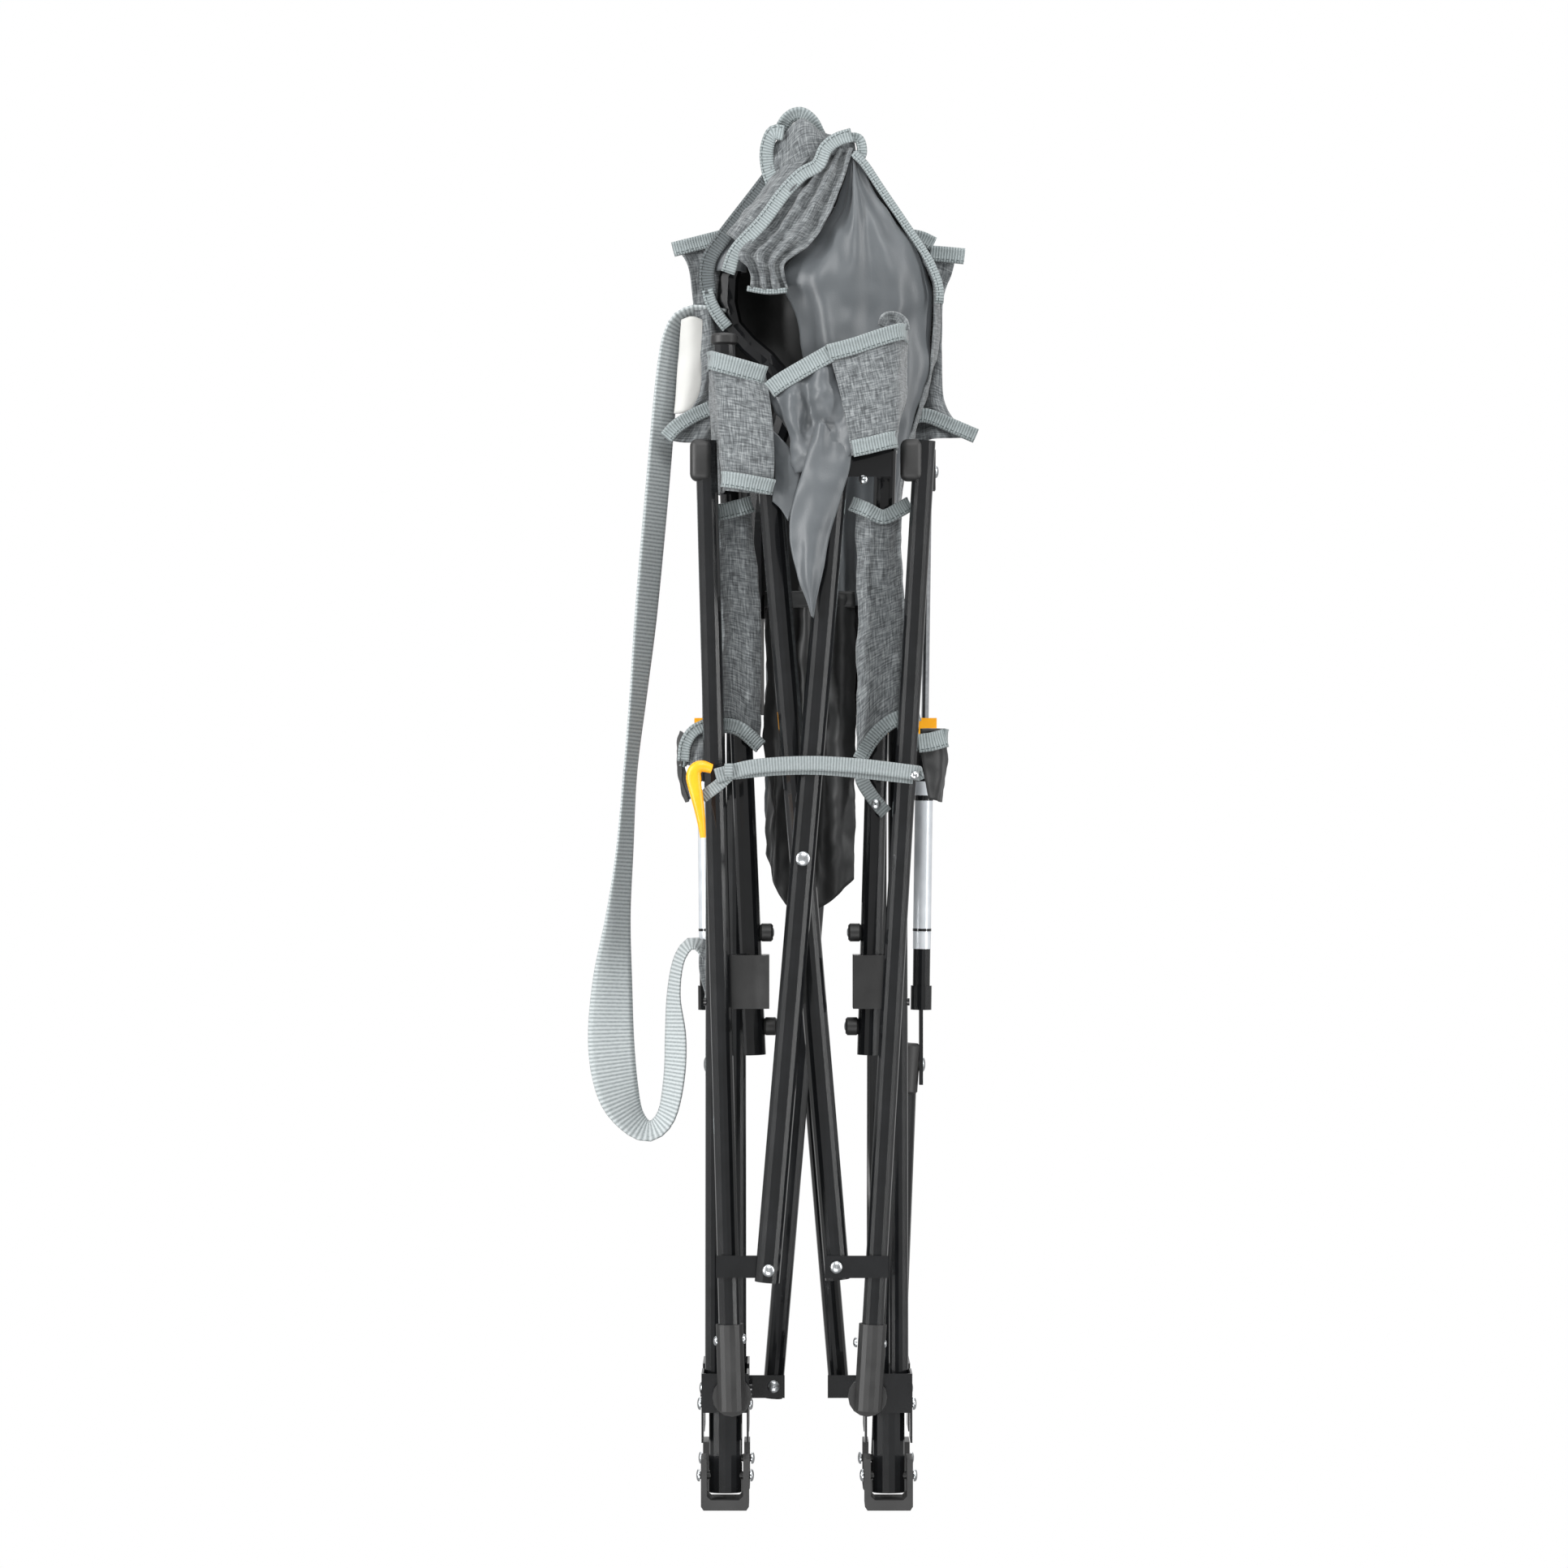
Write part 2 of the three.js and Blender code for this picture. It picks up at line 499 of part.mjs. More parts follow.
// ---- cloth, as plain solids ---------------------------------------------------------------------------
// The seat hangs in a fold between the posts and the canes: four flaps that meet along the middle.
function seatFlap(name, x0, x1, facing) {
  const flap = new THREE.BoxGeometry(x1 - x0, SEAT_THICK, SEAT_HALF);
  flap.translate((x0 + x1) / 2, 0, -SEAT_HALF / 2);
  flap.rotateX(-facing * rad(SEAT_LEAN));
  piece(name, toSolid(flap.translate(0, facing * SEAT_HINGE_Y, SEAT_HINGE_Z)), coated);
}
for (const [end, facing] of [["front", -1], ["rear", 1]]) {
  seatFlap(`seat_${end}_left`, CENTRE_X - SEAT_HALF_WIDTH, CENTRE_X - GAP, facing);
  seatFlap(`seat_${end}_right`, CENTRE_X + GAP, CENTRE_X + SEAT_HALF_WIDTH, facing);
}

// The back, gathered between the canes, with a wing standing out on each side.
const backLeft = [
  [CENTRE_X - GAP, 712],
  [CENTRE_X - GAP, 1078],
  [-12, 1070],
  [-32, 1012],
  [-50, 984],
  [-86, 978],
  [-75, 947],
  [-67, 900],
  [-64, 849],
  [-92, 827],
  [-60, 822],
  [-27, 780],
  [-27, 712],
];
const backRight = [
  [CENTRE_X + GAP, 712],
  [62, 712],
  [62, 780],
  [100, 822],
  [150, 828],
  [124, 849],
  [124, 893],
  [132, 940],
  [140, 978],
  [95, 990],
  [62, 1042],
  [CENTRE_X + GAP, 1076],
];
piece("back_left", plate(backLeft, BACK_FRONT, BACK_REAR), heather);
piece("back_right", plate(backRight, BACK_FRONT, BACK_REAR), heather);

// Arm rests: the front of each wraps its post, the rear reaches back towards its cane.
piece("arm_front_left", box(-62, -8, ...ARM_FRONT_Y, 822, 879), heather);
piece("arm_rear_left", box(-62, -12, ...ARM_REAR_Y, 780, 890), heather);
piece("arm_front_right", box(30, 94, ...ARM_FRONT_Y, 822, 905), heather);
piece("arm_rear_right", box(47, 110, ...ARM_REAR_Y, 780, 890), heather);

// Sleeves down the fronts of the posts, and the pockets that hang outside them.
piece("sleeve_left", box(-51, -17, ...SLEEVE_Y, 577, 776), heather);
piece("sleeve_right", box(49, 102, ...SLEEVE_Y, 583, 779), heather);
const pocketX = (side, gap) => CENTRE_X + side * (LEG_SPACING / 2 + gap);
piece("cup_holder", box(pocketX(-1, 32.75), pocketX(-1, 17.75), ...POCKET_Y, 534, 603), coated);
piece("side_pocket", box(pocketX(1, 19.25), pocketX(1, 44.75), ...POCKET_Y, 544, 602), coated);

// Strap that holds the folded chair together, and its hook.
const strapZ = [STRAP_Z - STRAP_HALF, STRAP_Z + STRAP_HALF];
const strapBand = box(STRAP_LEFT, STRAP_RIGHT, STRAP_FRONT, STRAP_FRONT + STRAP_THICK, ...strapZ);
const strapReturn = box(STRAP_RIGHT - 2, STRAP_RIGHT, STRAP_FRONT, FRONT_LEG_Y, ...strapZ);
piece("fold_strap", join(strapBand, strapReturn), paleWebbing);
const hookRight = STRAP_LEFT - GAP;
const hookHead = box(hookRight - 12, hookRight, STRAP_FRONT - 1, HOOK_BACK, STRAP_Z - 9, STRAP_Z + 9);
const hookTail = box(hookRight - 8, hookRight, STRAP_FRONT, HOOK_BACK, STRAP_Z - 50, STRAP_Z);
piece("strap_hook", join(hookHead, hookTail), yellowPlastic);

// Carry strap: [x, z, half the width seen from the front], from the back down round its loop to the strut.
const carryRoute = [
  [-70, 921, 5],
  [-83, 914, 5],
  [-91, 881, 6],
  [-100, 786, 8],
  [-108, 692, 8],
  [-114, 629, 5.5],
  [-121, 566, 4],
  [-126, 503, 5.5],
  [-130, 452, 9],
  [-134, 408, 15],
  [-135, 355, 18.5],
  [-130, 310, 17],
  [-113, 284, 10],
  [-93, 287, 8],
  [-85, 315, 9],
  [-84, 345, 9],
  [-87, 389, 4],
  [-83, 421, 4],
  [-73, 433, 4],
  [-63, 425, 4],
  [-58, 388, 4],
];
function bandOutline(route) {
  const near = [];
  const far = [];
  route.forEach(([x, z, half], i) => {
    const before = route[Math.max(i - 1, 0)];
    const after = route[Math.min(i + 1, route.length - 1)];
    const across = new THREE.Vector2(before[1] - after[1], after[0] - before[0]).normalize();
    near.push([x + across.x * half, z + across.y * half]);
    far.unshift([x - across.x * half, z - across.y * half]);
  });
  return [...near, ...far];
}
piece("carry_strap", plate(bandOutline(carryRoute), ...CARRY_Y), webbing);

// ---- origin at the middle of the footprint ------------------------------------------------------------
const whole = new THREE.Box3().setFromObject(chair);
const middle = whole.getCenter(v(0, 0, 0));
chair.position.set(-middle.x, -middle.y, -whole.min.z);

export default chair;
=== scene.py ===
# %% [markdown]
# A folding camp chair, folded and strapped shut, standing on its four feet. The steel frame comes from
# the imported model. This script gives it its finishes, adds the small hardware, and makes everything sewn:
# the gathered back, the arm rests, the sleeves, the seat that hangs in a fold, the pockets and the straps.
# Lengths are given in millimetres, as a maker would, and turned to metres by MM.
# %% Load the frame
import json
import math

import bmesh
import bpy
import numpy as np
from mathutils import Matrix, Vector, noise


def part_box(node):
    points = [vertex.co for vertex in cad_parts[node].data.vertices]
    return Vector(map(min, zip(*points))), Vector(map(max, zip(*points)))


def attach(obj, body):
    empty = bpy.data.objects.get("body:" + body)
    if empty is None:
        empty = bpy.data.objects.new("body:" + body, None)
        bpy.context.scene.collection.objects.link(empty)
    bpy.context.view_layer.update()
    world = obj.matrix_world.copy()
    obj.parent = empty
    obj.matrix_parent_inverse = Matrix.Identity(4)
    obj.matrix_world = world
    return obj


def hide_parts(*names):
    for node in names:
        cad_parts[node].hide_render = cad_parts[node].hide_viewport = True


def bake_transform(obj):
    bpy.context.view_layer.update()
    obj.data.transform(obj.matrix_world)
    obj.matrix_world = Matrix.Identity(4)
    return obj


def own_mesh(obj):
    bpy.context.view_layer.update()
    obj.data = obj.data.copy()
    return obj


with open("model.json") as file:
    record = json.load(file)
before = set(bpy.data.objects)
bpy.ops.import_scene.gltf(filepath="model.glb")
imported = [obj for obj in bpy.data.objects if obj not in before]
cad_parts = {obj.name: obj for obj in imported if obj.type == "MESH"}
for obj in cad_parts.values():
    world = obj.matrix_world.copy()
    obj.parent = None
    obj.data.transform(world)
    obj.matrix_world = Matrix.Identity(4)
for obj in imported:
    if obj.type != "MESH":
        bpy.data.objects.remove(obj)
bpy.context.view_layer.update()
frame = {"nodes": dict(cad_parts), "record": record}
MM = 0.001
print("frame nodes", len(frame["nodes"]))

# %% [markdown]
# The camera stands level and far away, as a catalogue photographer does with a long lens: verticals stay
# upright and both sides of the chair show alike.
# %% Camera
VIEW_WIDTH_MM = 1217  # of the object's plane across the picture
VIEW_HEIGHT_MM = 556
CAMERA_AWAY_MM = 4050
CENTRE_X_MM = 1.7  # the middle of the view, which the posts and struts are measured from
camera = bpy.data.objects.new("camera", bpy.data.cameras.new("camera"))
bpy.context.scene.collection.objects.link(camera)
camera.location = Vector((CENTRE_X_MM, -CAMERA_AWAY_MM, VIEW_HEIGHT_MM)) * MM
camera.rotation_euler = (math.radians(90), 0, 0)
camera.data.lens = camera.data.sensor_width * CAMERA_AWAY_MM / VIEW_WIDTH_MM
bpy.context.scene.camera = camera
print("lens", round(camera.data.lens), "mm")

# %% [markdown]
# Soft studio light. A tall, narrow panel at each side gives the long upright highlights that glossy powder
# coat shows. Broad panels fill in from the front, from below, from above and from behind. The world is
# white behind the chair but dimmer as a light, so that black tubes reflect the panels and not a white room.
# %% Lights
LAMPS_AIM = Vector((0, 0, 0.55))
WORLD_LIGHT = 0.42
LAMPS = {  # place and size in metres, power in watts
    "left_panel": ((-2.0, -1.4, 0.9), (0.22, 2.8), 76),
    "right_panel": ((2.0, -1.1, 1.0), (0.16, 2.8), 42),
    "front_fill": ((0.5, -3.6, 3.4), (1.8, 1.8), 92),
    "low_fill": ((-0.3, -3.2, -1.5), (1.8, 1.8), 46),
    "top_panel": ((0.0, -0.2, 3.4), (2.5, 2.5), 46),
    "back_panel": ((0.4, 2.8, 2.2), (2.5, 1.6), 40),
}
for name, (place, size, power) in LAMPS.items():
    light = bpy.data.lights.new(name, "AREA")
    light.shape = "RECTANGLE"
    light.size, light.size_y = size
    light.energy = power
    lamp = bpy.data.objects.new(name, light)
    lamp.location = place
    lamp.rotation_euler = (LAMPS_AIM - Vector(place)).to_track_quat("-Z", "Y").to_euler()
    bpy.context.scene.collection.objects.link(lamp)
world = bpy.data.worlds.new("studio")
world.use_nodes = True
backdrop = world.node_tree.nodes["Background"]
seen = world.node_tree.nodes.new("ShaderNodeLightPath").outputs["Is Camera Ray"]
level = world.node_tree.nodes.new("ShaderNodeMapRange")
level.inputs["To Min"].default_value = WORLD_LIGHT
world.node_tree.links.new(seen, level.inputs["Value"])
world.node_tree.links.new(level.outputs["Result"], backdrop.inputs["Strength"])
backdrop.inputs["Color"].default_value = (1, 1, 1, 1)
bpy.context.scene.world = world
bpy.context.scene.view_settings.view_transform = "Standard"
print("lamps", len(LAMPS))

# %% [markdown]
# Two helpers serve every finish. The first turns a hex colour, as a colour card gives it, into the linear
# values that shaders use. The second adds one node: a setting that is another node's output is linked,
# and any other is stored as it is.
# %% Colour and node helpers
def linear(hex_colour):
    channels = [int(hex_colour[i : i + 2], 16) / 255 for i in (1, 3, 5)]
    return (*[c / 12.92 if c <= 0.04045 else ((c + 0.055) / 1.055) ** 2.4 for c in channels], 1.0)


def add(tree, kind, settings):
    node = tree.nodes.new("ShaderNode" + kind)
    for key, value in settings.items():
        if key == "stops":
            elements = node.color_ramp.elements
            while len(elements) < len(value):
                elements.new(0.5)
            for element, (position, hex_colour) in zip(elements, value):
                element.position = position
                element.color = linear(hex_colour)
        elif isinstance(value, bpy.types.NodeSocket):
            tree.links.new(value, node.inputs[key])
        elif isinstance(key, str) and hasattr(node, key):
            setattr(node, key, value)
        else:
            node.inputs[key].default_value = value
    return node.outputs


def start_material(name, roughness, metallic=0.0, **sockets):
    material = bpy.data.materials.new(name)
    material.use_nodes = True
    shader = material.node_tree.nodes["Principled BSDF"]
    shader.inputs["Roughness"].default_value = roughness
    shader.inputs["Metallic"].default_value = metallic
    for socket, value in sockets.items():
        shader.inputs[socket.replace("_", " ")].default_value = value
    return material, material.node_tree, shader


def finish_surface(tree, shader, stops, tone, height, depth_mm, roughness=None):
    """Colours the shader by tone, and raises its surface by height."""
    colour = add(tree, "ValToRGB", {"Fac": tone, "stops": stops})["Color"]
    tree.links.new(colour, shader.inputs["Base Color"])
    bump = add(tree, "Bump", {"Height": height, "Distance": depth_mm * MM, "Strength": 1.0})["Normal"]
    tree.links.new(bump, shader.inputs["Normal"])
    if roughness:
        low, high = roughness
        spread = add(tree, "MapRange", {"Value": tone, "To Min": low, "To Max": high})["Result"]
        tree.links.new(spread, shader.inputs["Roughness"])


# %% [markdown]
# Powder coat on steel is a baked polymer skin, glossy here, with a faint orange peel a few millimetres
# across. The peel is a shallow bump; broad patches of handling marks change the gloss a little.
# %% Powder coated steel
PEEL_MM = 3.0
coat, tree, shader = start_material(
    "powder_coated_steel", 0.26, Specular_IOR_Level=0.2, Coat_Weight=0.8, Coat_Roughness=0.05,
)
where = add(tree, "TexCoord", {})["Object"]
peel = add(tree, "TexNoise", {"Vector": where, "Scale": 1 / (PEEL_MM * MM), "Detail": 2.0})["Fac"]
marks = add(tree, "TexNoise", {"Vector": where, "Scale": 40.0, "Detail": 5.0, "Roughness": 0.65})["Fac"]
finish_surface(tree, shader, [(0.3, "#0d0e0f"), (0.7, "#151618")], marks, peel, 0.001, (0.18, 0.28))
print(coat.name)

# %% [markdown]
# Moulded black nylon makes the elbows, feet, guides and end blocks. It is greyer and duller than the coat,
# because the mould is spark-textured with a grain under a millimetre.
# %% Moulded black nylon
GRAIN_MM = 0.8
nylon, tree, shader = start_material("moulded_black_nylon", 0.48, IOR=1.53)
where = add(tree, "TexCoord", {})["Object"]
grain = add(tree, "TexNoise", {"Vector": where, "Scale": 1 / (GRAIN_MM * MM), "Detail": 4.0})["Fac"]
marks = add(tree, "TexNoise", {"Vector": where, "Scale": 60.0, "Detail": 3.0})["Fac"]
finish_surface(tree, shader, [(0.3, "#1b1b1b"), (0.7, "#262626")], marks, grain, 0.05, (0.4, 0.6))
print(nylon.name)

# %% [markdown]
# Moulded yellow acetal makes the hook and the strut caps: smooth and a little waxy, with light passing
# just under its surface.
# %% Moulded yellow acetal
acetal, tree, shader = start_material("moulded_yellow_acetal", 0.36, IOR=1.48, Subsurface_Weight=0.05)
where = add(tree, "TexCoord", {})["Object"]
flow = add(tree, "TexNoise", {"Vector": where, "Scale": 70.0, "Detail": 3.0})["Fac"]
grain = add(tree, "TexNoise", {"Vector": where, "Scale": 1200.0})["Fac"]
finish_surface(tree, shader, [(0.2, "#ee9c08"), (0.8, "#fbb21a")], flow, grain, 0.02, (0.3, 0.44))
print(acetal.name)

# %% [markdown]
# Three bright finishes. Hard chrome on the strut rods is ground round, which leaves rings too fine to see.
# Zinc plate on the screws has a fine spangle. The film wrapped round each strut barrel is metallised
# polyester, flatter and whiter than either.
# %% Chrome, zinc and film
BRIGHT = {
    "hard_chrome": (0.07, 1.0, ("#c8cbcf", "#dfe2e5"), 300.0, 0.005),
    "zinc_plate": (0.28, 1.0, ("#adb1b4", "#d3d6d8"), 900.0, 0.03),
    "metallised_film": (0.34, 0.25, ("#c3c8cd", "#d5d9dd"), 60.0, 0.02),
}
bright = {}
for name, (roughness, metallic, (dark, light), scale, depth_mm) in BRIGHT.items():
    material, tree, shader = start_material(name, roughness, metallic)
    where = add(tree, "TexCoord", {})["Object"]
    spangle = add(tree, "TexNoise", {"Vector": where, "Scale": scale, "Detail": 3.0})["Fac"]
    finish_surface(tree, shader, [(0.3, dark), (0.7, light)], spangle, spangle, depth_mm)
    bright[name] = material
chrome, zinc, film = bright.values()
print(list(bright))

# %% [markdown]
# Cloth. Every sewn piece carries a UV map in millimetres, so thread patterns can be given at their real
# size. Heathered polyester is woven from yarns of two greys: short light and dark dashes run along warp
# and weft. Real yarns lie 0.4 mm apart; they are drawn three times as wide so that they show.
# %% Heathered polyester
YARN_MM = 1.25
DASH_MM = 10.0


def make_heather(name, dark, middle, light):
    material, tree, shader = start_material(name, 0.92, Sheen_Weight=0.2, Sheen_Roughness=0.5)
    flat = add(tree, "UVMap", {"uv_map": "UVMap"})["UV"]
    yarns = []
    for scale in ((1 / YARN_MM, 1 / DASH_MM, 1), (1 / DASH_MM, 1 / YARN_MM, 1)):
        along = add(tree, "Mapping", {"Vector": flat, "Scale": scale})["Vector"]
        yarns.append(add(tree, "TexNoise", {"Vector": along, "Scale": 1.0, "Detail": 2.0})["Fac"])
    weave = add(tree, "Math", {"operation": "ADD", 0: yarns[0], 1: yarns[1]})["Value"]
    tone = add(tree, "Math", {"operation": "MULTIPLY", 0: weave, 1: 0.5})["Value"]
    finish_surface(tree, shader, [(0.38, dark), (0.5, middle), (0.64, light)], tone, tone, 0.5)
    return material


heather = make_heather("heathered_polyester", "#3f4244", "#5f6365", "#85898a")
print(heather.name)

# %% [markdown]
# The other face of that cloth is coated with polyurethane to keep water out: smooth, with a soft shine along
# its creases. A darker copy of it is painted shade, for the seat, the pockets and the inside of the back. A
# pale copy is painted light, for the carry strap's inner face beside the left wing.
# %% Coated polyester
def make_coated(name, dark, light, roughness):
    material, tree, shader = start_material(name, roughness, IOR=1.45, Sheen_Weight=0.08)
    flat = add(tree, "UVMap", {"uv_map": "UVMap"})["UV"]
    broad = add(tree, "TexNoise", {"Vector": flat, "Scale": 0.02, "Detail": 4.0})["Fac"]
    weave = add(tree, "TexNoise", {"Vector": flat, "Scale": 1 / YARN_MM, "Detail": 2.0})["Fac"]
    gloss = (roughness - 0.08, roughness + 0.1)
    finish_surface(tree, shader, [(0.25, dark), (0.75, light)], broad, weave, 0.08, gloss)
    return material


coated = make_coated("coated_polyester", "#4d5154", "#585c5f", 0.4)
# A darker copy of the coated cloth that stands in for shade: painted shade.
painted_shade_coated = make_coated("coated_polyester_inside", "#151616", "#202122", 0.5)
pale_painted_light_cloth = make_coated("pale_lining", "#b3b3b0", "#c4c4c1", 0.7)
print(coated.name, painted_shade_coated.name, pale_painted_light_cloth.name)

# %% [markdown]
# Binding tape and webbing are woven with thick ribs across their width, a little over 2 mm apart, and 3 mm
# on the carry strap. On the two binding tapes a row of lockstitch runs 2 mm in from one edge. V runs along
# the tape and U across it.
# %% Ribbed tape and webbing
RIB_MM = 2.2
CARRY_RIB_MM = 3.0
STITCH_MM = 4.0
STITCH_IN_MM = 2.0
BANDS_TO_ONE_UNIT = math.pi / 10  # wave scale that gives one band to each unit


def make_ribbed(name, dark, light, depth_mm, rib_mm, thread=None):
    material, tree, shader = start_material(name, 0.85, Sheen_Weight=0.15, Sheen_Roughness=0.4)
    flat = add(tree, "UVMap", {"uv_map": "UVMap"})["UV"]
    length = add(tree, "Mapping", {"Vector": flat, "Scale": (0.03, 1 / rib_mm, 1)})["Vector"]
    bands = {"Vector": length, "bands_direction": "Y", "Scale": BANDS_TO_ONE_UNIT, "Distortion": 0.4}
    ribs = add(tree, "TexWave", bands)["Fac"]
    wear = add(tree, "TexNoise", {"Vector": flat, "Scale": 0.5, "Detail": 5.0})["Fac"]
    both = add(tree, "Math", {"operation": "ADD", 0: ribs, 1: wear})["Value"]
    tone = add(tree, "Math", {"operation": "MULTIPLY", 0: both, 1: 0.5})["Value"]
    finish_surface(tree, shader, [(0.15, dark), (0.75, light)], tone, ribs, depth_mm)
    if thread:
        across, along, _ = add(tree, "SeparateXYZ", {"Vector": flat}).values()
        row = add(tree, "Math", {"operation": "COMPARE", 0: across, 1: STITCH_IN_MM, 2: 0.45})["Value"]
        beat = add(tree, "Math", {"operation": "MODULO", 0: along, 1: STITCH_MM})["Value"]
        dash = add(tree, "Math", {"operation": "GREATER_THAN", 0: beat, 1: STITCH_MM * 0.35})["Value"]
        seam = add(tree, "Math", {"operation": "MULTIPLY", 0: row, 1: dash})["Value"]
        cloth = shader.inputs["Base Color"].links[0].from_socket
        mix = {"data_type": "RGBA", "Factor": seam, "A": cloth, "B": linear(thread)}
        tree.links.new(add(tree, "Mix", mix)["Result"], shader.inputs["Base Color"])
    return material


tape = make_ribbed("ribbed_binding_tape", "#626a6b", "#929a9b", 0.25, RIB_MM, "#4a5152")
shaded_tape = make_ribbed("ribbed_binding_shaded", "#3b3f40", "#606668", 0.25, RIB_MM, "#2c3031")
webbing = make_ribbed("ribbed_webbing", "#646b6c", "#8f9697", 0.3, RIB_MM)
carry_webbing = make_ribbed("carry_webbing", "#7c8384", "#b6bcbd", 0.2, CARRY_RIB_MM)
print("materials", len(bpy.data.materials))

# %% [markdown]
# The frame's pieces keep their own shape and only need their finish. Tubes are many-sided, so shallow
# angles are shaded smooth and true corners stay sharp; the plastic blocks get a small round edge from a
# bevel modifier, as any moulding has.
# %% Finish the steel and plastic pieces
SLOT_FINISHES = {
    "powder_coated_steel": coat,
    "moulded_black_plastic": nylon,
    "moulded_yellow_plastic": acetal,
    "chromed_rod": chrome,
}
EDGE_MM = {"foot_": 1.2, "front_elbow": 0.8, "guide_": 2.5, "strut_block": 4.0, "strut_cap": 1.6}
node_slots = {row["node"]: row["material_slot"] for row in frame["record"]["subparts"]}


def smooth_by_angle(mesh, degrees):
    mesh.polygons.foreach_set("use_smooth", [True] * len(mesh.polygons))
    mesh.set_sharp_from_angle(angle=math.radians(degrees))


for node, piece in frame["nodes"].items():
    finish = SLOT_FINISHES.get(node_slots[node])
    if finish is None:
        continue
    piece.data.materials.clear()
    piece.data.materials.append(finish)
    smooth_by_angle(piece.data, 35)
    width = next((mm for start, mm in EDGE_MM.items() if node.startswith(start)), 0)
    if width:
        bevel = piece.modifiers.new("edge", "BEVEL")
        bevel.width = width * MM
        bevel.segments = 3
        bevel.angle_limit = math.radians(50)
print("finished", len(frame["nodes"]), "frame pieces")

# %% [markdown]
# Small hardware is turned or pressed, so it is lathed here: a profile of radius and height is swept round
# an axis. A head is a low dome. Most have a shallow dish in the middle, where a driver or a punch sits; the
# rivets at the front crossing and on the bosses have none.
# %% Lathed hardware
def new_piece(name, mesh, material, body):
    piece = bpy.data.objects.new(name, mesh)
    bpy.context.scene.collection.objects.link(piece)
    mesh.materials.append(material)
    if body:
        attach(piece, body)
    return piece


def lathe(name, profile_mm, base_mm, axis, material, body, turns=32):
    shape = bmesh.new()
    rings = []
    for radius, height in profile_mm:
        angles = [2 * math.pi * i / turns for i in range(turns if radius else 1)]
        rings.append([shape.verts.new((radius * math.cos(a), radius * math.sin(a), height)) for a in angles])
    for low, high in zip(rings, rings[1:]):
        for i in range(turns):
            corners = [
                low[i % len(low)], low[(i + 1) % len(low)], high[(i + 1) % len(high)], high[i % len(high)],
            ]
            shape.faces.new(list(dict.fromkeys(corners)))
    bmesh.ops.recalc_face_normals(shape, faces=shape.faces)
    mesh = bpy.data.meshes.new(name)
    shape.to_mesh(mesh)
    shape.free()
    turn = Vector(axis).to_track_quat("Z", "Y").to_matrix().to_4x4()
    mesh.transform(Matrix.Scale(MM, 4) @ Matrix.Translation(base_mm) @ turn)
    smooth_by_angle(mesh, 40)
    return new_piece(name, mesh, material, body)


DOME_STEPS = 6
DOME_ANGLE = 1.35  # radians up the dome, just short of its top
DISH_SHARE = 0.2  # of the head's radius and height


def head(name, place_mm, axis, body, radius, height=2.2, recess=True):
    angles = np.linspace(0, DOME_ANGLE, DOME_STEPS)
    curve = [(radius * math.cos(a), height * math.sin(a)) for a in angles]
    dish = [(radius * DISH_SHARE, height * DISH_SHARE), (0, height * DISH_SHARE)]
    middle = dish if recess else [(0, height)]
    return lathe(name, [(0, -1), (radius, -1), *curve, *middle], place_mm, axis, zinc, body)


FRONT = (0, -1, 0)
LEFT = (-1, 0, 0)
RIGHT = (1, 0, 0)
HEADS = [
    ("scissor_a_low_bolt", (-10, -104.5, 188), FRONT, "front_scissor_a", 4.8),
    ("scissor_b_low_bolt", (41.5, -82, 188.5), FRONT, "front_scissor_b", 4.8),
    ("rear_d_low_rivet", (45, 89, 80), FRONT, "rear_scissor_d", 5.0),
    ("rear_c_low_bolt", (-6.5, 71, 80), FRONT, "rear_scissor_c", 5.0),
    ("left_bracket_screw_out", (-47.5, -70, 186), LEFT, "front_left", 4.2),
    ("left_bracket_screw_in", (-31.5, -70, 186), RIGHT, "front_left", 4.2),
    ("right_bracket_screw_in", (60.5, -70, 184), LEFT, "front_right", 4.2),
    ("right_bracket_screw_out", (77.5, -70, 184), RIGHT, "front_right", 4.2),
    ("left_elbow_rivet_out", (-50, -68, 131), LEFT, "front_left", 3.8),
    ("left_elbow_rivet_in", (-29, -68, 132.5), RIGHT, "front_left", 3.8),
    ("right_elbow_rivet_in", (56.5, -68, 130), LEFT, "front_right", 3.8),
    ("right_elbow_rivet_out", (78, -68, 129), RIGHT, "front_right", 3.8),
    ("right_strut_block_screw", (121.5, 67, 802.5), RIGHT, "cane_right", 5.2),
    ("left_strut_block_screw", (-66, 67, 802.5), LEFT, "cane_left", 5.2),
    ("right_post_bracket_screw", (62, -82, 787.5), FRONT, "post_right", 3.6),
    ("left_strut_eye_bolt", (-59.5, 65, 335), LEFT, "rear_left", 6.0),
    ("right_strut_eye_bolt", (111, 65, 335), RIGHT, "rear_right", 6.0),
    ("post_webbing_screw", (72, -56, 540.5), FRONT, "post_right", 4.2),
    ("fold_strap_rivet", (100.5, -107, 562.5), FRONT, "fold_strap", 3.4),
]
for name, place, axis, body, radius in HEADS:
    head(name, place, axis, body, radius)
head("front_crossing_rivet", (16, -104.5, 499.5), FRONT, "front_scissor_a", 5.6, 2.0, False)
FOOT_BOLT_Z, HUB_BOLT_Z = 25, 80
FRONT_HUB_Y, REAR_HUB_Y = -41, 63
LET_IN_MM = 0.4  # how far a head sits into its block
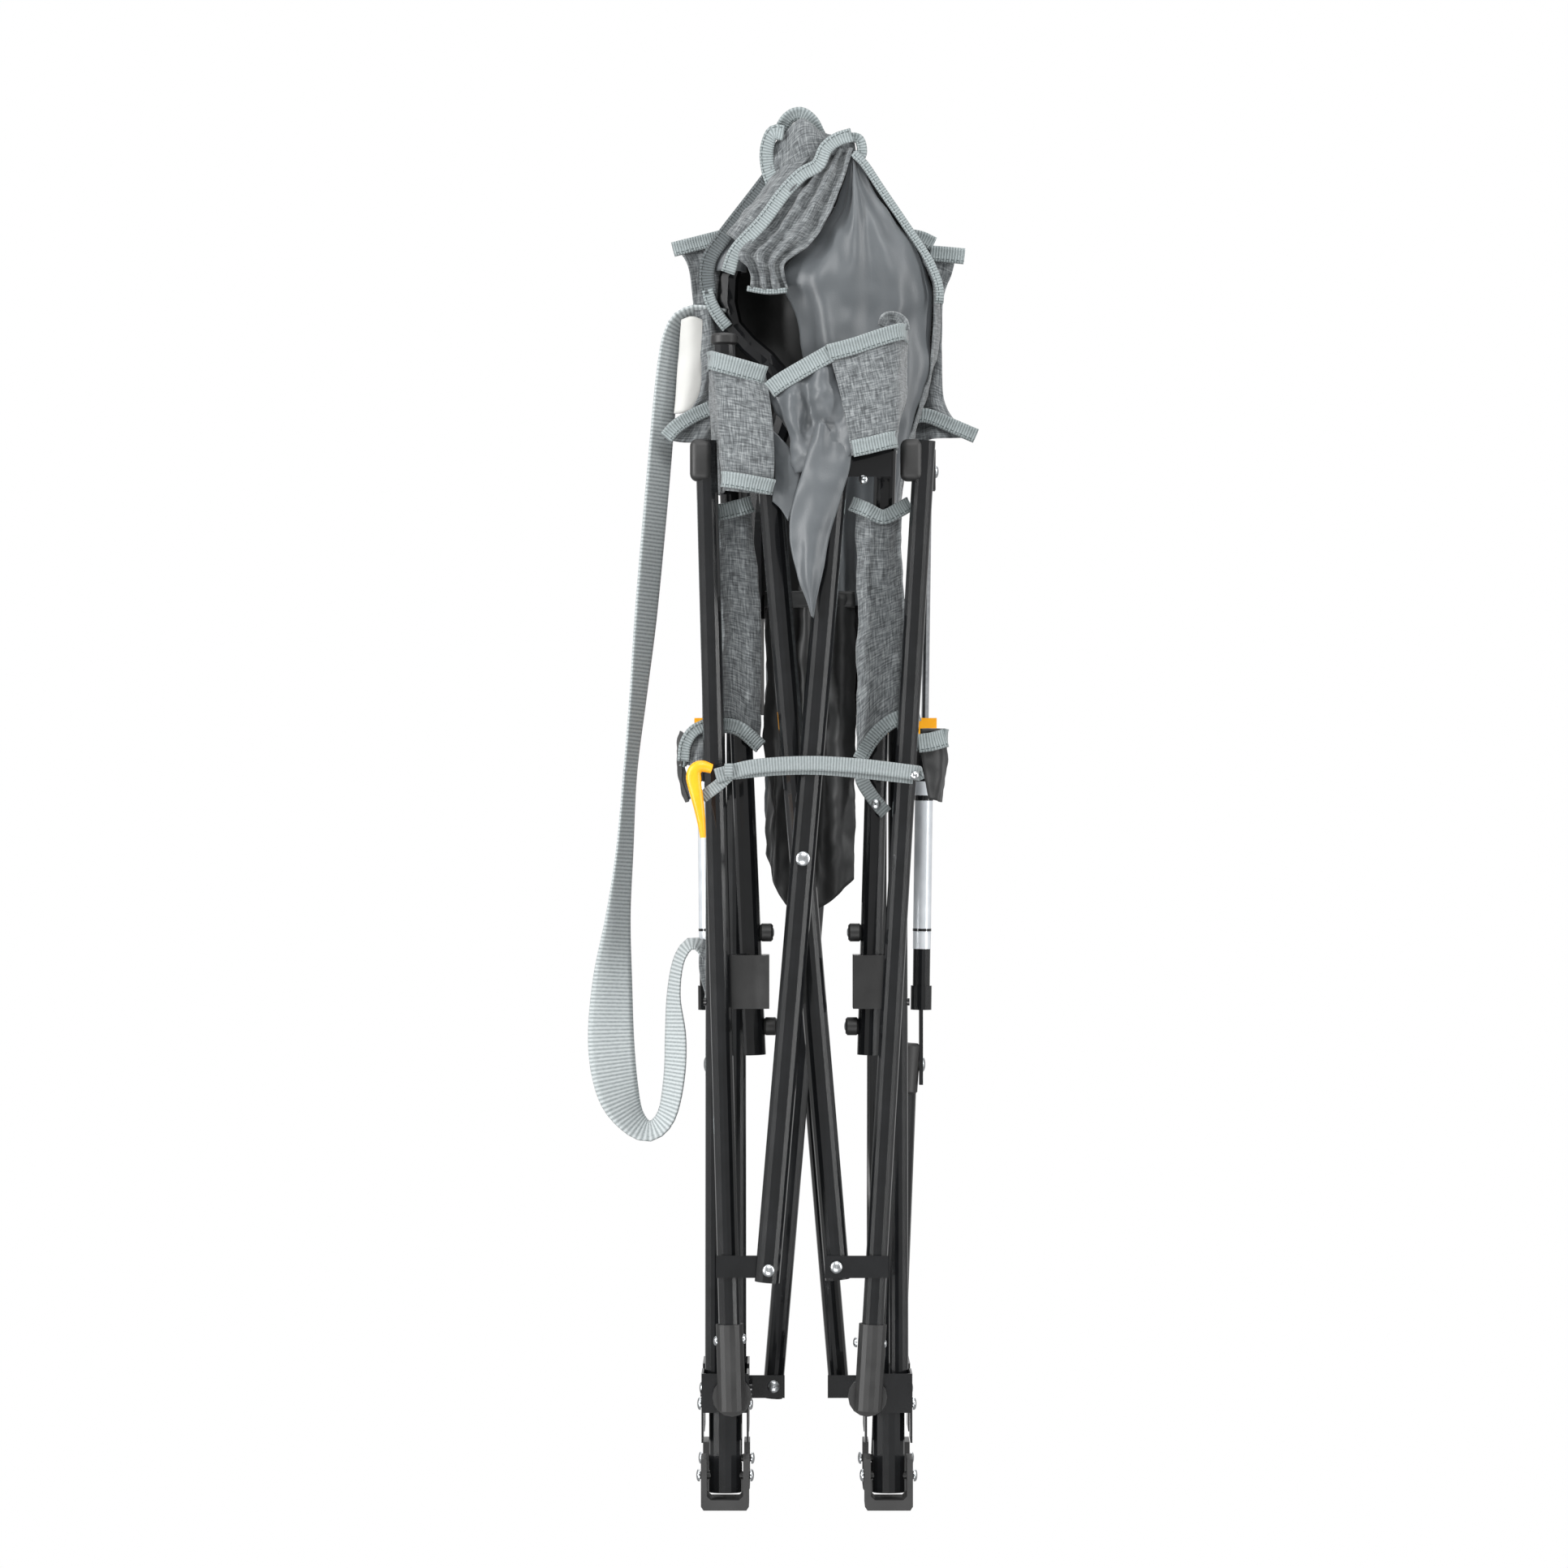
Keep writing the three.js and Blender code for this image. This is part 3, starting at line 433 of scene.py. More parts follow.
for node in sorted(frame["nodes"]):
    if not node.startswith(("foot_", "front_hub", "rear_hub")):
        continue
    low, high = (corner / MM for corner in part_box(node))
    if node.startswith("foot_"):
        body, depth, height = node, (low.y + high.y) / 2, FOOT_BOLT_Z
    else:
        body, height = node.replace("_hub", ""), HUB_BOLT_Z
        depth = FRONT_HUB_Y if "front" in node else REAR_HUB_Y
    for label, x, axis in (("left", low.x, LEFT), ("right", high.x, RIGHT)):
        if node.startswith("rear_hub") and not node.endswith(label):
            continue  # the rear hubs have a bolt on their outer side only
        head(f"{node}_bolt_{label}", (x - axis[0] * LET_IN_MM, depth, height), axis, body, 4.8, 1.8)

# %% [markdown]
# Moulded details that the frame leaves out: an oval block on the top of each front leg, rivetted bosses
# that stop the sliding posts above and below their guides, caps on the posts, the film round each strut,
# and a collar and a spacer at each strut's lower eye. The blocks start as a box whose edges are bevelled
# until it is nearly a pebble.
# %% Blocks, bosses, caps and films
def pebble(name, middle_mm, size_mm, edge_mm, material, body):
    shape = bmesh.new()
    bmesh.ops.create_cube(shape, size=1.0)
    for vertex in shape.verts:
        vertex.co = [(middle_mm[i] + vertex.co[i] * size_mm[i]) * MM for i in range(3)]
    bmesh.ops.bevel(
        shape, geom=shape.edges, offset=edge_mm * MM, segments=5, profile=0.5, affect="EDGES"
    )
    mesh = bpy.data.meshes.new(name)
    shape.to_mesh(mesh)
    shape.free()
    smooth_by_angle(mesh, 50)
    return new_piece(name, mesh, material, body)


def turned(name, low_mm, high_mm, radius, edge, material, body):
    """A round bar from one point to another, with its edges rounded by edge."""
    low, high = Vector(low_mm), Vector(high_mm)
    tall = (high - low).length
    profile = [
        (0, 0), (radius - edge, 0), (radius, edge), (radius, tall - edge), (radius - edge, tall), (0, tall),
    ]
    return lathe(name, profile, low, high - low, material, body, 40)


def sleeve(name, low_mm, high_mm, inner, outer, material, body):
    """A thin tube round a bar, from one point to another."""
    low, high = Vector(low_mm), Vector(high_mm)
    tall = (high - low).length
    profile = [(inner, 0), (outer, 0), (outer, tall), (inner, tall), (inner, 0)]
    return lathe(name, profile, low, high - low, material, body, 40)


BLOCK_MM = (17, 20, 32)
pebble("leg_block_right", (99, -68, 803), BLOCK_MM, 5.5, nylon, "front_right")
pebble("leg_block_left", (-61.5, -68, 803), BLOCK_MM, 5.5, nylon, "front_left")
POST_Y = -42
POST_RADIUS_MM = 8
POST_ENDS_X = {"left": (-22.4, -46), "right": (64.6, 80.5)}  # low and high end, from CENTRE_X_MM
BOSS_HEIGHTS = (("upper", 442), ("lower", 370))
BOSS_LONG_MM, BOSS_RADIUS_MM = 10, 7
for side, sign in (("left", 1), ("right", -1)):
    body = "post_" + side
    post_low, post_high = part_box(body)
    for label, height in BOSS_HEIGHTS:
        share = (height * MM - post_low.z) / (post_high.z - post_low.z)
        near, far = POST_ENDS_X[side]
        skin = near + (far - near) * share + CENTRE_X_MM + sign * POST_RADIUS_MM
        start = Vector((skin, POST_Y, height))
        end = start + Vector((sign * BOSS_LONG_MM, 0, 0))
        turned(f"post_boss_{label}_{side}", start, end, BOSS_RADIUS_MM, 1.5, nylon, body)
        head(f"post_boss_rivet_{label}_{side}", end, (sign, 0, 0), body, 3.4, 1.0, False)

POST_TOPS = {"left": (-44, POST_Y, 902), "right": (83, POST_Y, 902)}
CAP_TALL_MM, CAP_RADIUS_MM = 9, 10.2
for side, top in POST_TOPS.items():
    cap_low = Vector(top) - Vector((0, 0, CAP_TALL_MM))
    turned("post_cap_" + side, cap_low, top, CAP_RADIUS_MM, 1.8, nylon, "post_" + side)

STRUT_Y = 67
# x, from CENTRE_X_MM, and z of each strut's two ends
STRUTS = {"left": ((-59.5, 378), (-61.5, 594)), "right": ((108, 378), (111, 594))}
BARREL_MM, NECK_MM = 6.8, 7.6  # radii
FILM_MM = 0.25
GAP_MM = 0.05
film_in, film_out = BARREL_MM + GAP_MM, BARREL_MM + FILM_MM
line_in = film_out + GAP_MM
line_out = line_in + FILM_MM
STRUT_WRAPS = [  # name, low and high along the strut, inner and outer radius, finish
    ("strut_film", 426, 558, film_in, film_out, film),
    ("strut_film_line", 440, 442, line_in, line_out, coat),
    ("strut_film_band", 543, 547, line_in, line_out, coat),
    ("strut_neck", 586, 593.5, film_in, NECK_MM, nylon),
]


def on_strut(side, z):
    """The point of a strut's axis at a height."""
    (x_low, z_low), (x_high, z_high) = STRUTS[side]
    return Vector((CENTRE_X_MM + x_low + (x_high - x_low) * (z - z_low) / (z_high - z_low), STRUT_Y, z))


for side in STRUTS:
    for name, low, high, inner, outer, finish in STRUT_WRAPS:
        ends = on_strut(side, low), on_strut(side, high)
        sleeve(f"{name}_{side}", *ends, inner, outer, finish, "rear_" + side)

EYE_Y, EYE_Z = 65, 335.2
COLLARS = {  # each collar's low and high end, and the x of the strut's plate
    "left": ((-46.9, 63, 312), (-47.9, 63, 352), -57.3),
    "right": ((96.9, 63, 312), (99.5, 63, 352), 108.8),
}
for side, (low, high, plate_x) in COLLARS.items():
    turned(f"rear_leg_collar_{side}", low, high, 9.8, 2.0, nylon, "rear_" + side)
    eye, plate = (low[0], EYE_Y, EYE_Z), (plate_x, EYE_Y, EYE_Z)
    turned(f"strut_eye_spacer_{side}", eye, plate, 5.5, 0.5, nylon, "rear_" + side)

# %% [markdown]
# Every sewn piece starts as a net of a few rails: lines that run down the cloth, side by side. A smooth curve
# through the rails gives a grid, folds are waves added along the grid's normal, and a little noise gives the
# small creases that no fold explains. Solidify then gives the cloth its two faces, each with its own
# material. Rail points are given to half a millimetre.
# %% Cloth helpers
def distance_along(points):
    """How far along its line each point lies, from the first one."""
    steps = np.linalg.norm(np.diff(points, axis=0), axis=1)
    return np.concatenate([[0], np.cumsum(steps)])


def spline(points, count):
    """Evenly spaced points on a smooth curve through the given ones."""
    points = np.array(points, float)
    if len(points) == 2:
        return points[0] + (points[1] - points[0]) * np.linspace(0, 1, count)[:, None]
    padded = np.vstack([2 * points[0] - points[1], points, 2 * points[-1] - points[-2]])
    dense = []
    for p0, p1, p2, p3 in zip(padded, padded[1:], padded[2:], padded[3:]):
        t = np.linspace(0, 1, 16, endpoint=False)[:, None]
        swing = (p2 - p0) * t + (2 * p0 - 5 * p1 + 4 * p2 - p3) * t**2 + (3 * p1 - p0 - 3 * p2 + p3) * t**3
        dense.append(p1 + swing / 2)
    dense = np.vstack([*dense, points[-1:]])
    run = distance_along(dense)
    even = np.linspace(0, run[-1], count)
    return np.stack([np.interp(even, run, dense[:, k]) for k in range(dense.shape[1])], axis=1)


def net(rails, rows, columns):
    """A grid of points, rows down the cloth by columns across it."""
    lines = [spline(rail, rows) for rail in rails]
    return np.array([spline([line[i] for line in lines], columns) for i in range(rows)])


def outward(grid):
    along = np.gradient(grid, axis=0)
    across = np.gradient(grid, axis=1)
    normal = np.cross(along, across)
    return normal / np.maximum(np.linalg.norm(normal, axis=2, keepdims=True), 1e-9)


def fold(grid, folds, crease_mm, crease_size_mm):
    """Each fold is (depth, how many across, how far they drift down the cloth, where they start)."""
    rows, columns = grid.shape[:2]
    s = np.linspace(0, 1, columns)[None, :]
    t = np.linspace(0, 1, rows)[:, None]
    lift = np.zeros((rows, columns))
    for depth, number, drift, start in folds:
        lift += depth * np.sin(2 * math.pi * (number * s + drift * t + start))
    for i in range(rows):
        for j in range(columns):
            lift[i, j] += crease_mm * noise.turbulence(Vector(grid[i, j]) / crease_size_mm, 3, False)
    return grid + outward(grid) * lift[:, :, None]


def sheet_mesh(name, grid):
    rows, columns = grid.shape[:2]
    shape = bmesh.new()
    points = [shape.verts.new(Vector(point) * MM) for line in grid for point in line]
    layer = shape.loops.layers.uv.new("UVMap")
    u = distance_along(grid[rows // 2])
    v = distance_along(grid[:, columns // 2])
    for i in range(rows - 1):
        for j in range(columns - 1):
            steps = [(i, j), (i + 1, j), (i + 1, j + 1), (i, j + 1)]
            face = shape.faces.new([points[a * columns + b] for a, b in steps])
            face.smooth = True
            for loop, (a, b) in zip(face.loops, steps):
                loop[layer].uv = (u[b], v[a])
    mesh = bpy.data.meshes.new(name)
    shape.to_mesh(mesh)
    shape.free()
    return mesh, (float(u[-1]), float(v[-1]))


def make_sheet(name, grid, materials, thickness_mm, offset):
    """A piece with two faces. cut_mm keeps the width and length of its middle lines."""
    mesh, cut = sheet_mesh(name, grid)
    piece = new_piece(name, mesh, materials[0], None)
    for material in materials[1:]:
        mesh.materials.append(material)
    solid = piece.modifiers.new("two_faces", "SOLIDIFY")
    solid.thickness = thickness_mm * MM
    solid.offset = offset
    solid.material_offset = len(materials) - 1
    bpy.context.view_layer.update()
    graph = bpy.context.evaluated_depsgraph_get()
    piece.data = bpy.data.meshes.new_from_object(piece.evaluated_get(graph))
    piece.modifiers.clear()
    piece["cut_mm"] = cut
    return piece


CLOTH_MM = 1.2


def cloth(name, rails, body, outer, inner, folds, crease, size):
    """crease is (depth, size) of the small creases, and size is (rows, columns) of the grid."""
    grid = fold(net(rails, *size), folds, *crease)
    piece = make_sheet(name, grid, (outer, inner), CLOTH_MM, -1)
    if body:
        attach(piece, body)
    return piece


CUT_ROOM = 1.02  # the least that a cut's rectangle may be, over the area of its cloth


def declare(piece):
    """Measures a sheet's flat area on the finished piece, so that it always agrees with it. It also works out
    a cut as wide and long as the middle lines, or wider where that is too small. Nothing is done with these
    values."""
    area = sum(polygon.area for polygon in piece.data.polygons) / 2
    width, length = (size * MM for size in piece["cut_mm"])
    width = max(width, CUT_ROOM * area / length)


def binding(name, path, width, body, material=None, facing=(0, -1, 0), crown=0.9, thick=2.0):
    """A tape along a path. Its broad face looks to facing, and its middle stands out by crown."""
    line = spline(path, max(12, int(5 * len(path))))
    along = np.gradient(line, axis=0)
    along /= np.linalg.norm(along, axis=1, keepdims=True)
    across = np.cross(along, np.array(facing, float))
    across /= np.linalg.norm(across, axis=1, keepdims=True)
    normal = np.cross(across, along)
    shares = (-0.5, -0.3, 0.0, 0.3, 0.5)
    lifts = (0.0, 0.8, 1.0, 0.8, 0.0)
    grid = np.stack([line + across * width * s - normal * crown * l for s, l in zip(shares, lifts)], axis=1)
    piece = make_sheet(name, grid[:, ::-1], (material or tape,), thick, 0)
    if body:
        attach(piece, body)
    return piece


def spreads(*pieces):
    for piece in pieces:
        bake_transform(piece)


panel_rails = [
    [
        (52, 14, 1047), (44.5, 16, 1020.5), (26.5, 14, 981.5), (5, 8, 959), (2, 8, 946.5),
        (11.5, 14, 923.5), (21, 16, 889.5), (23.5, 18, 836.5), (24.5, 20, 773.5), (26, 22, 695),
    ],
    [
        (53, 12, 1048.5), (50.5, 8, 1020.5), (36.5, 2, 981.5), (23, -4, 954), (23, -5, 933.5),
        (30.5, -4, 912), (35.5, 0, 883.5), (36.5, 6, 836.5), (38, 10, 773.5), (39, 14, 695),
    ],
    [
        (55, 12, 1049), (59, 2, 1020.5), (62, -4, 981.5), (60.5, -8, 950), (62, -7, 925), (63, -4, 906),
        (64.5, -1, 880.5), (62, 4, 836.5), (58, 8, 773.5), (54.5, 12, 695),
    ],
    [
        (57, 12, 1048.5), (67, 8, 1020.5), (83.5, 2, 981.5), (93.5, -3, 956.5), (99.5, -2, 931),
        (96, 6, 906), (92, 3, 877.5), (84.5, 8, 836.5), (74.5, 12, 773.5), (70.5, 14, 695),
    ],
    [
        (59.5, 16, 1047), (76, 16, 1019.5), (98.5, 16, 987), (114, 14, 963.5), (122.5, 12, 939.5),
        (119, 16, 914), (115.5, 18, 878), (107.5, 20, 855.5), (88.5, 22, 786), (84.5, 24, 695),
    ],
]
panel = cloth(
    "back_panel_coated", panel_rails, None, coated, heather, [(1.6, 2.5, 0.8, 0.1), (1.2, 4.5, -0.6, 0.4)],
    (8.0, 70.0), (90, 56),
)

# %% [markdown]
# Behind the panel the cloth turns round the canes and closes the back. Its woven side faces the rear and
# hangs in soft upright folds. Its coated inside is the darker copy of the coated cloth, which is painted
# shade, and it shows as the dark hollow beside the left cane. A narrow strip closes the right side, and moves
# with that side alone.
# %% Back panel, woven side
rear_rails = [
    [
        (62, 46, 1047), (77, 50, 1018), (99, 46, 986), (115, 42, 961.5), (122, 44, 937.5), (118.5, 50, 912),
        (115, 54, 878), (106, 58, 836.5), (93.5, 60, 773.5), (88.5, 60, 695),
    ],
    [
        (48, 54, 1056), (60.5, 64, 1018), (77, 66, 986), (86, 66, 956.5), (89.5, 66, 925), (88.5, 66, 887),
        (83.5, 66, 849), (77, 66, 811.5), (73, 64, 767.5), (70.5, 62, 695),
    ],
    [
        (29, 56, 1058.5), (30.5, 66, 1018), (31.5, 69, 986), (29, 70, 956.5), (28, 70, 925),
        (26.5, 70, 887), (25.5, 70, 849), (24, 68, 811.5), (23, 66, 767.5), (23, 64, 695),
    ],
    [
        (13.5, 54, 1057), (-5.5, 64, 1018), (-24.5, 66, 986), (-35, 66, 956.5), (-37.5, 66, 925),
        (-36.5, 66, 887), (-32.5, 66, 849), (-27.5, 66, 811.5), (-26.5, 64, 767.5), (-25, 62, 695),
    ],
    [
        (2.5, 52, 1051), (-15, 60, 1014.5), (-36.5, 60, 981.5), (-46.5, 60, 964), (-47.5, 60, 942.5),
        (-46.5, 60, 912), (-44, 62, 878), (-40, 62, 836.5), (-37.5, 62, 773.5), (-36.5, 62, 695),
    ],
    [
        (-5.5, 46, 1041), (-21.5, 44, 1013), (-45, 42, 981.5), (-57, 41, 964), (-58, 41, 942.5),
        (-55.5, 44, 912), (-51.5, 50, 878), (-47.5, 56, 836.5), (-45, 60, 773.5), (-44, 60, 695),
    ],
]
front_edge = spline(panel_rails[-1], 9)[:8]
rear_edge = spline(rear_rails[0], 9)[:8]
side_rails = [front_edge, (front_edge + rear_edge) / 2 + (3, 0, 0), rear_edge]
side_cloth = cloth("back_side_right", side_rails, "back_right", heather, coated, [], (3.0, 30.0), (60, 16))
declare(side_cloth)
rear_panel = cloth(
    "back_panel_woven", rear_rails, None, heather, painted_shade_coated, [(2.2, 4.0, 0.5, 0.3)], (3.0, 50.0),
    (90, 60),
)

# %% [markdown]
# The ridge over the left cane: a strip of woven cloth between two bindings, then a flap that falls in
# small diagonal folds and ends in a stitched hem. Two loops of binding stand up from the top corner.
# %% Ridge, flap and top loops
ridge_rails = [
    [(-11, 32, 1028), (-24, 30, 1009.5), (-39, 28, 991.5), (-42.5, 27, 985.5)],
    [(2.5, 16, 1041), (-10, 12, 1018), (-25, 10, 1000.5), (-39, 12, 981.5)],
    [(23, 10, 1044.5), (5, 6, 1023), (-12.5, 4, 999), (-32.5, 6, 975)],
]
ridge = cloth(
    "back_ridge_strip", ridge_rails, None, heather, coated, [(0.8, 1.5, 0.3, 0)], (2.0, 22.0), (40, 16),
)
flap_rails = [
    [
        (28, 8, 1041), (15.5, 4, 1025.5), (1.5, 2, 1009.5), (-16, 0, 986.5), (-34, -1, 967.5),
        (-27, -1, 956.5), (-24.5, 0, 941),
    ],
    [
        (41.5, 9, 1048.5), (28, 3, 1025.5), (15.5, -1, 1005.5), (-1, -4, 984), (-18.5, -5, 965),
        (-16, -5, 952.5), (-14.5, -4, 939.5),
    ],
    [
        (50.5, 10, 1051), (36.5, 3, 1023), (23, -3, 996.5), (9, -6, 976.5), (-8.5, -7, 960),
        (-7.5, -6, 949), (-5, -5, 938.5),
    ],
    [
        (55.5, 11, 1051), (45.5, 4, 1019.5), (28, -4, 983), (14, -5, 970), (1.5, -6, 960), (1.5, -6, 949),
        (4, -5, 939.5),
    ],
]
flap = cloth("back_flap", flap_rails, None, heather, coated, [(3.4, 3.2, -0.3, 0.2)], (5.0, 22.0), (56, 32))
gather_rails = [
    [(-12.5, 30, 1047), (-12, 28, 1035), (-7.5, 26, 1020.5)],
    [(1.5, 18, 1063.5), (2.5, 14, 1047), (1.5, 12, 1028)],
    [(15.5, 14, 1075), (20.5, 10, 1056), (19, 10, 1038)],
    [(30.5, 16, 1064.5), (40.5, 12, 1053.5), (45.5, 12, 1047)],
    [(53, 20, 1062), (55.5, 18, 1057), (58, 18, 1049.5)],
]
gather = cloth(
    "back_top_gather", gather_rails, None, heather, coated, [(1.0, 2.0, 0.5, 0)], (2.5, 20.0), (20, 40),
)
trims = [
    binding(
        "ridge_binding_dark",
        [
            (-10, 28, 1029.5), (-24.5, 27, 1010.5), (-42.5, 33, 988), (-55.5, 37, 970), (-59, 38, 955),
            (-57, 38, 940),
        ],
        12, None, shaded_tape,
    ),
    binding(
        "ridge_binding_light",
        [
            (54.5, 8, 1061), (43, 6, 1057), (34, 3, 1049.5), (28, 0, 1036.5), (15.5, -2, 1029),
            (1.5, -3, 1014.5), (-15, -4, 992), (-35, -4, 970), (-42, -2, 952.5),
        ],
        10.5, None,
    ),
    binding(
        "left_edge_binding",
        [(-58.5, 38, 943.5), (-55.5, 38, 933.5), (-49.5, 37, 922.5), (-42.5, 37, 913.5)], 9, None,
    ),
    binding(
        "right_edge_binding",
        [
            (55.5, 8, 1047), (64.5, 8, 1038), (77, 10, 1019.5), (98.5, 11, 988), (115, 9, 962.5),
            (122.5, 7, 942.5), (122.5, 9, 930),
        ],
        5.5, None,
    ),
    binding(
        "upper_loop",
        [(-1.5, 26, 1064.5), (5, 22, 1075), (14, 20, 1078.5), (23, 20, 1072.5), (29, 22, 1061.5)], 11, None,
        None, (0.25, -0.8, -0.5),
    ),
    binding(
        "left_loop",
        [(1.5, 16, 1063.5), (-7.5, 18, 1063.5), (-12, 22, 1051), (-11, 24, 1037), (-7, 22, 1024.5)], 12,
        None, None, (-0.5, -0.8, 0.2),
    ),
    binding(
        "top_corner_binding", [(48, 14, 1059.5), (59.5, 12, 1058.5), (62.5, 12, 1048.5), (59.5, 10, 1041)],
        7, None,
    ),
    binding("flap_hem", [(-27, -3, 940.5), (-11, -7, 937.5), (4, -7, 938.5)], 3, None),
]
spreads(panel, rear_panel, ridge, flap, gather, *trims)
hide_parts("back_left", "back_right")
declare(panel)
for piece in (rear_panel, ridge, flap, gather):
    declare(piece)
print("back pieces", 5 + len(trims))

# %% [markdown]
# At each side a wing of the back stands out beside the cane: it is the cloth that wraps the open chair's
# frame. Bindings run along its upper edge and across its foot, where it flares out. Beside the left one a
# pale strip stands for the carry strap's inner face where light falls on it; its pale colour is painted
# light.
# %% Wings of the back
wings = {
    "left_wing": ("cane_left", [
        [
            (-45, 48, 985.5), (-44, 50, 956.5), (-44, 52, 912), (-45, 52, 868), (-45, 50, 843),
            (-46.5, 48, 823.5),
        ],
        [
            (-64, 38, 981.5), (-60.5, 40, 956.5), (-56.5, 42, 912), (-55.5, 42, 868), (-65.5, 38, 843),
            (-66.5, 36, 823.5),
        ],
        [
            (-84.5, 34, 976.5), (-74, 36, 961.5), (-68, 40, 925), (-63.5, 40, 868), (-80.5, 34, 838),
            (-92, 32, 825.5),
        ],
    ]),
    "right_wing": ("back_right", [
        [
            (136, 34, 972.5), (133.5, 36, 957.5), (126, 40, 936), (126, 40, 899.5), (127.5, 40, 855.5),
            (146.5, 32, 829),
        ],
        [
            (117.5, 38, 978), (117.5, 40, 957.5), (116, 42, 936), (116, 42, 899.5), (116, 42, 855.5),
            (121, 36, 826.5),
        ],
        [
            (97, 48, 981.5), (99.5, 50, 957.5), (102, 52, 936), (102, 52, 899.5), (98.5, 52, 855.5),
            (93.5, 48, 823.5),
        ],
    ]),
}
for name, (body, rails) in wings.items():
    wing = cloth(
        name, rails[::-1], body, heather, coated, [(2.0, 1.5, 1.2, 0.2)], (4.0, 30.0),
        (56, 24),
    )
    declare(wing)
WING_TRIMS = [
    (
        "left_wing_binding", "cane_left",
        [(-85, 30, 974), (-74, 32, 977), (-59, 38, 981.5), (-44, 44, 986)], 11,
    ),
    (
        "left_wing_low_binding", "cane_left",
        [(-90.5, 28, 826.5), (-83, 30, 835), (-70.5, 34, 843.5), (-55.5, 40, 851)], 11,
    ),
    ("right_wing_binding_in", "back_right", [(98, 44, 986), (108.5, 40, 984), (118.5, 36, 979)], 11),
    ("right_wing_binding_out", "back_right", [(116, 34, 971.5), (130, 31, 970), (142.5, 28, 968.5)], 12),
    (
        "right_wing_low_binding", "back_right",
        [(96.5, 40, 838), (104.5, 37, 844), (115, 35, 844), (133.5, 31, 836), (151.5, 27, 828)], 11,
    ),
]
for name, body, path, width in WING_TRIMS:
    binding(name, path, width, body)
# The carry strap's inner face, coloured pale as if lit: painted light.
under_strap = cloth("strap_lining", [
    [(-79, 40, 920), (-81.5, 42, 887), (-83, 42, 862), (-84.5, 40, 846.5)],
    [(-70.5, 38, 922.5), (-71.5, 38, 887), (-74, 38, 862), (-78, 38, 846.5)],
    [(-61.5, 42, 920), (-60.5, 43, 887), (-61.5, 43, 862), (-66.5, 41, 849)],
], "cane_left", pale_painted_light_cloth, heather, [], (1.0, 30.0), (30, 12))
declare(under_strap)
print("wings", len(wings))

# %% [markdown]
# The tops of the canes sit in sewn pockets. Each pocket is a narrow tube of woven cloth round the cane, so
# no bare tube end shows above the back.
# %% Cane pockets
CANES_MIDDLE_X, CANE_Y = 19.2, 47
POCKET_ROUTE = [(60, 958), (56, 975), (44, 990), (28, 1008)]  # out from the middle of the canes, and up
POCKET_RADIUS_MM = 11
POCKET_SIDES = 8
for side, sign, body in (("left", -1, "cane_left"), ("right", 1, "cane_right")):
    rails = []
    for k in range(POCKET_SIDES + 1):
        angle = 2 * math.pi * k / POCKET_SIDES
        out = POCKET_RADIUS_MM * math.cos(angle)
        y = CANE_Y + POCKET_RADIUS_MM * math.sin(angle)
        rails.append([(CANES_MIDDLE_X + sign * x + out, y, z) for x, z in POCKET_ROUTE])
    pocket = cloth(
        f"cane_pocket_{side}", rails, body, heather, coated, [(0.5, 3, 0.4, 0)], (1.5, 18.0), (24, 33),
    )
    declare(pocket)
print("cane pockets 2")


def arm_piece(piece):
    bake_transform(piece)
    return piece


left_arm = cloth("arm_left", [
    [(-50, -14, 882), (-49, -12, 849), (-47.5, -12, 811.5), (-45, -14, 778.5)],
    [(-57, -34, 883.5), (-55.5, -34, 849), (-53.5, -34, 811.5), (-49.5, -34, 778.5)],
    [(-54, -66, 883.5), (-52, -64, 849), (-46.5, -60, 811.5), (-44.5, -60, 778.5)],
    [(-54, -92, 880.5), (-50, -95, 849), (-47.5, -95, 811.5), (-44.5, -92, 778.5)],
    [(-35, -96, 877.5), (-32.5, -100, 846), (-31.5, -100, 808.5), (-29, -97, 777)],
    [(-12.5, -92, 870.5), (-8, -95, 840), (-5.5, -95, 805), (-7, -92, 775)],
], None, heather, coated, [(0.7, 2.5, 0.3, 0)], (1.6, 26.0), (56, 60))
right_arm = cloth("arm_right", [
    [(35.5, -104, 883.5), (43, -108, 855.5), (48.5, -109, 830.5), (53, -108, 804)],
    [(55.5, -104, 888.5), (60.5, -108, 855.5), (64.5, -108, 830.5), (67, -106, 806.5)],
    [(78.5, -100, 896), (81, -104, 855.5), (82, -103, 830.5), (82, -101, 809.5)],
    [(91, -88, 901), (91.5, -90, 855.5), (89, -90, 830.5), (87, -88, 811.5)],
    [(96, -50, 899.5), (94.5, -50, 855.5), (89, -50, 830.5), (87, -50, 811.5)],
    [(88.5, -14, 893.5), (88.5, -12, 855.5), (88.5, -12, 830.5), (88.5, -14, 811.5)],
], None, heather, coated, [(0.7, 2.5, 0.3, 0.4)], (1.6, 26.0), (56, 60))
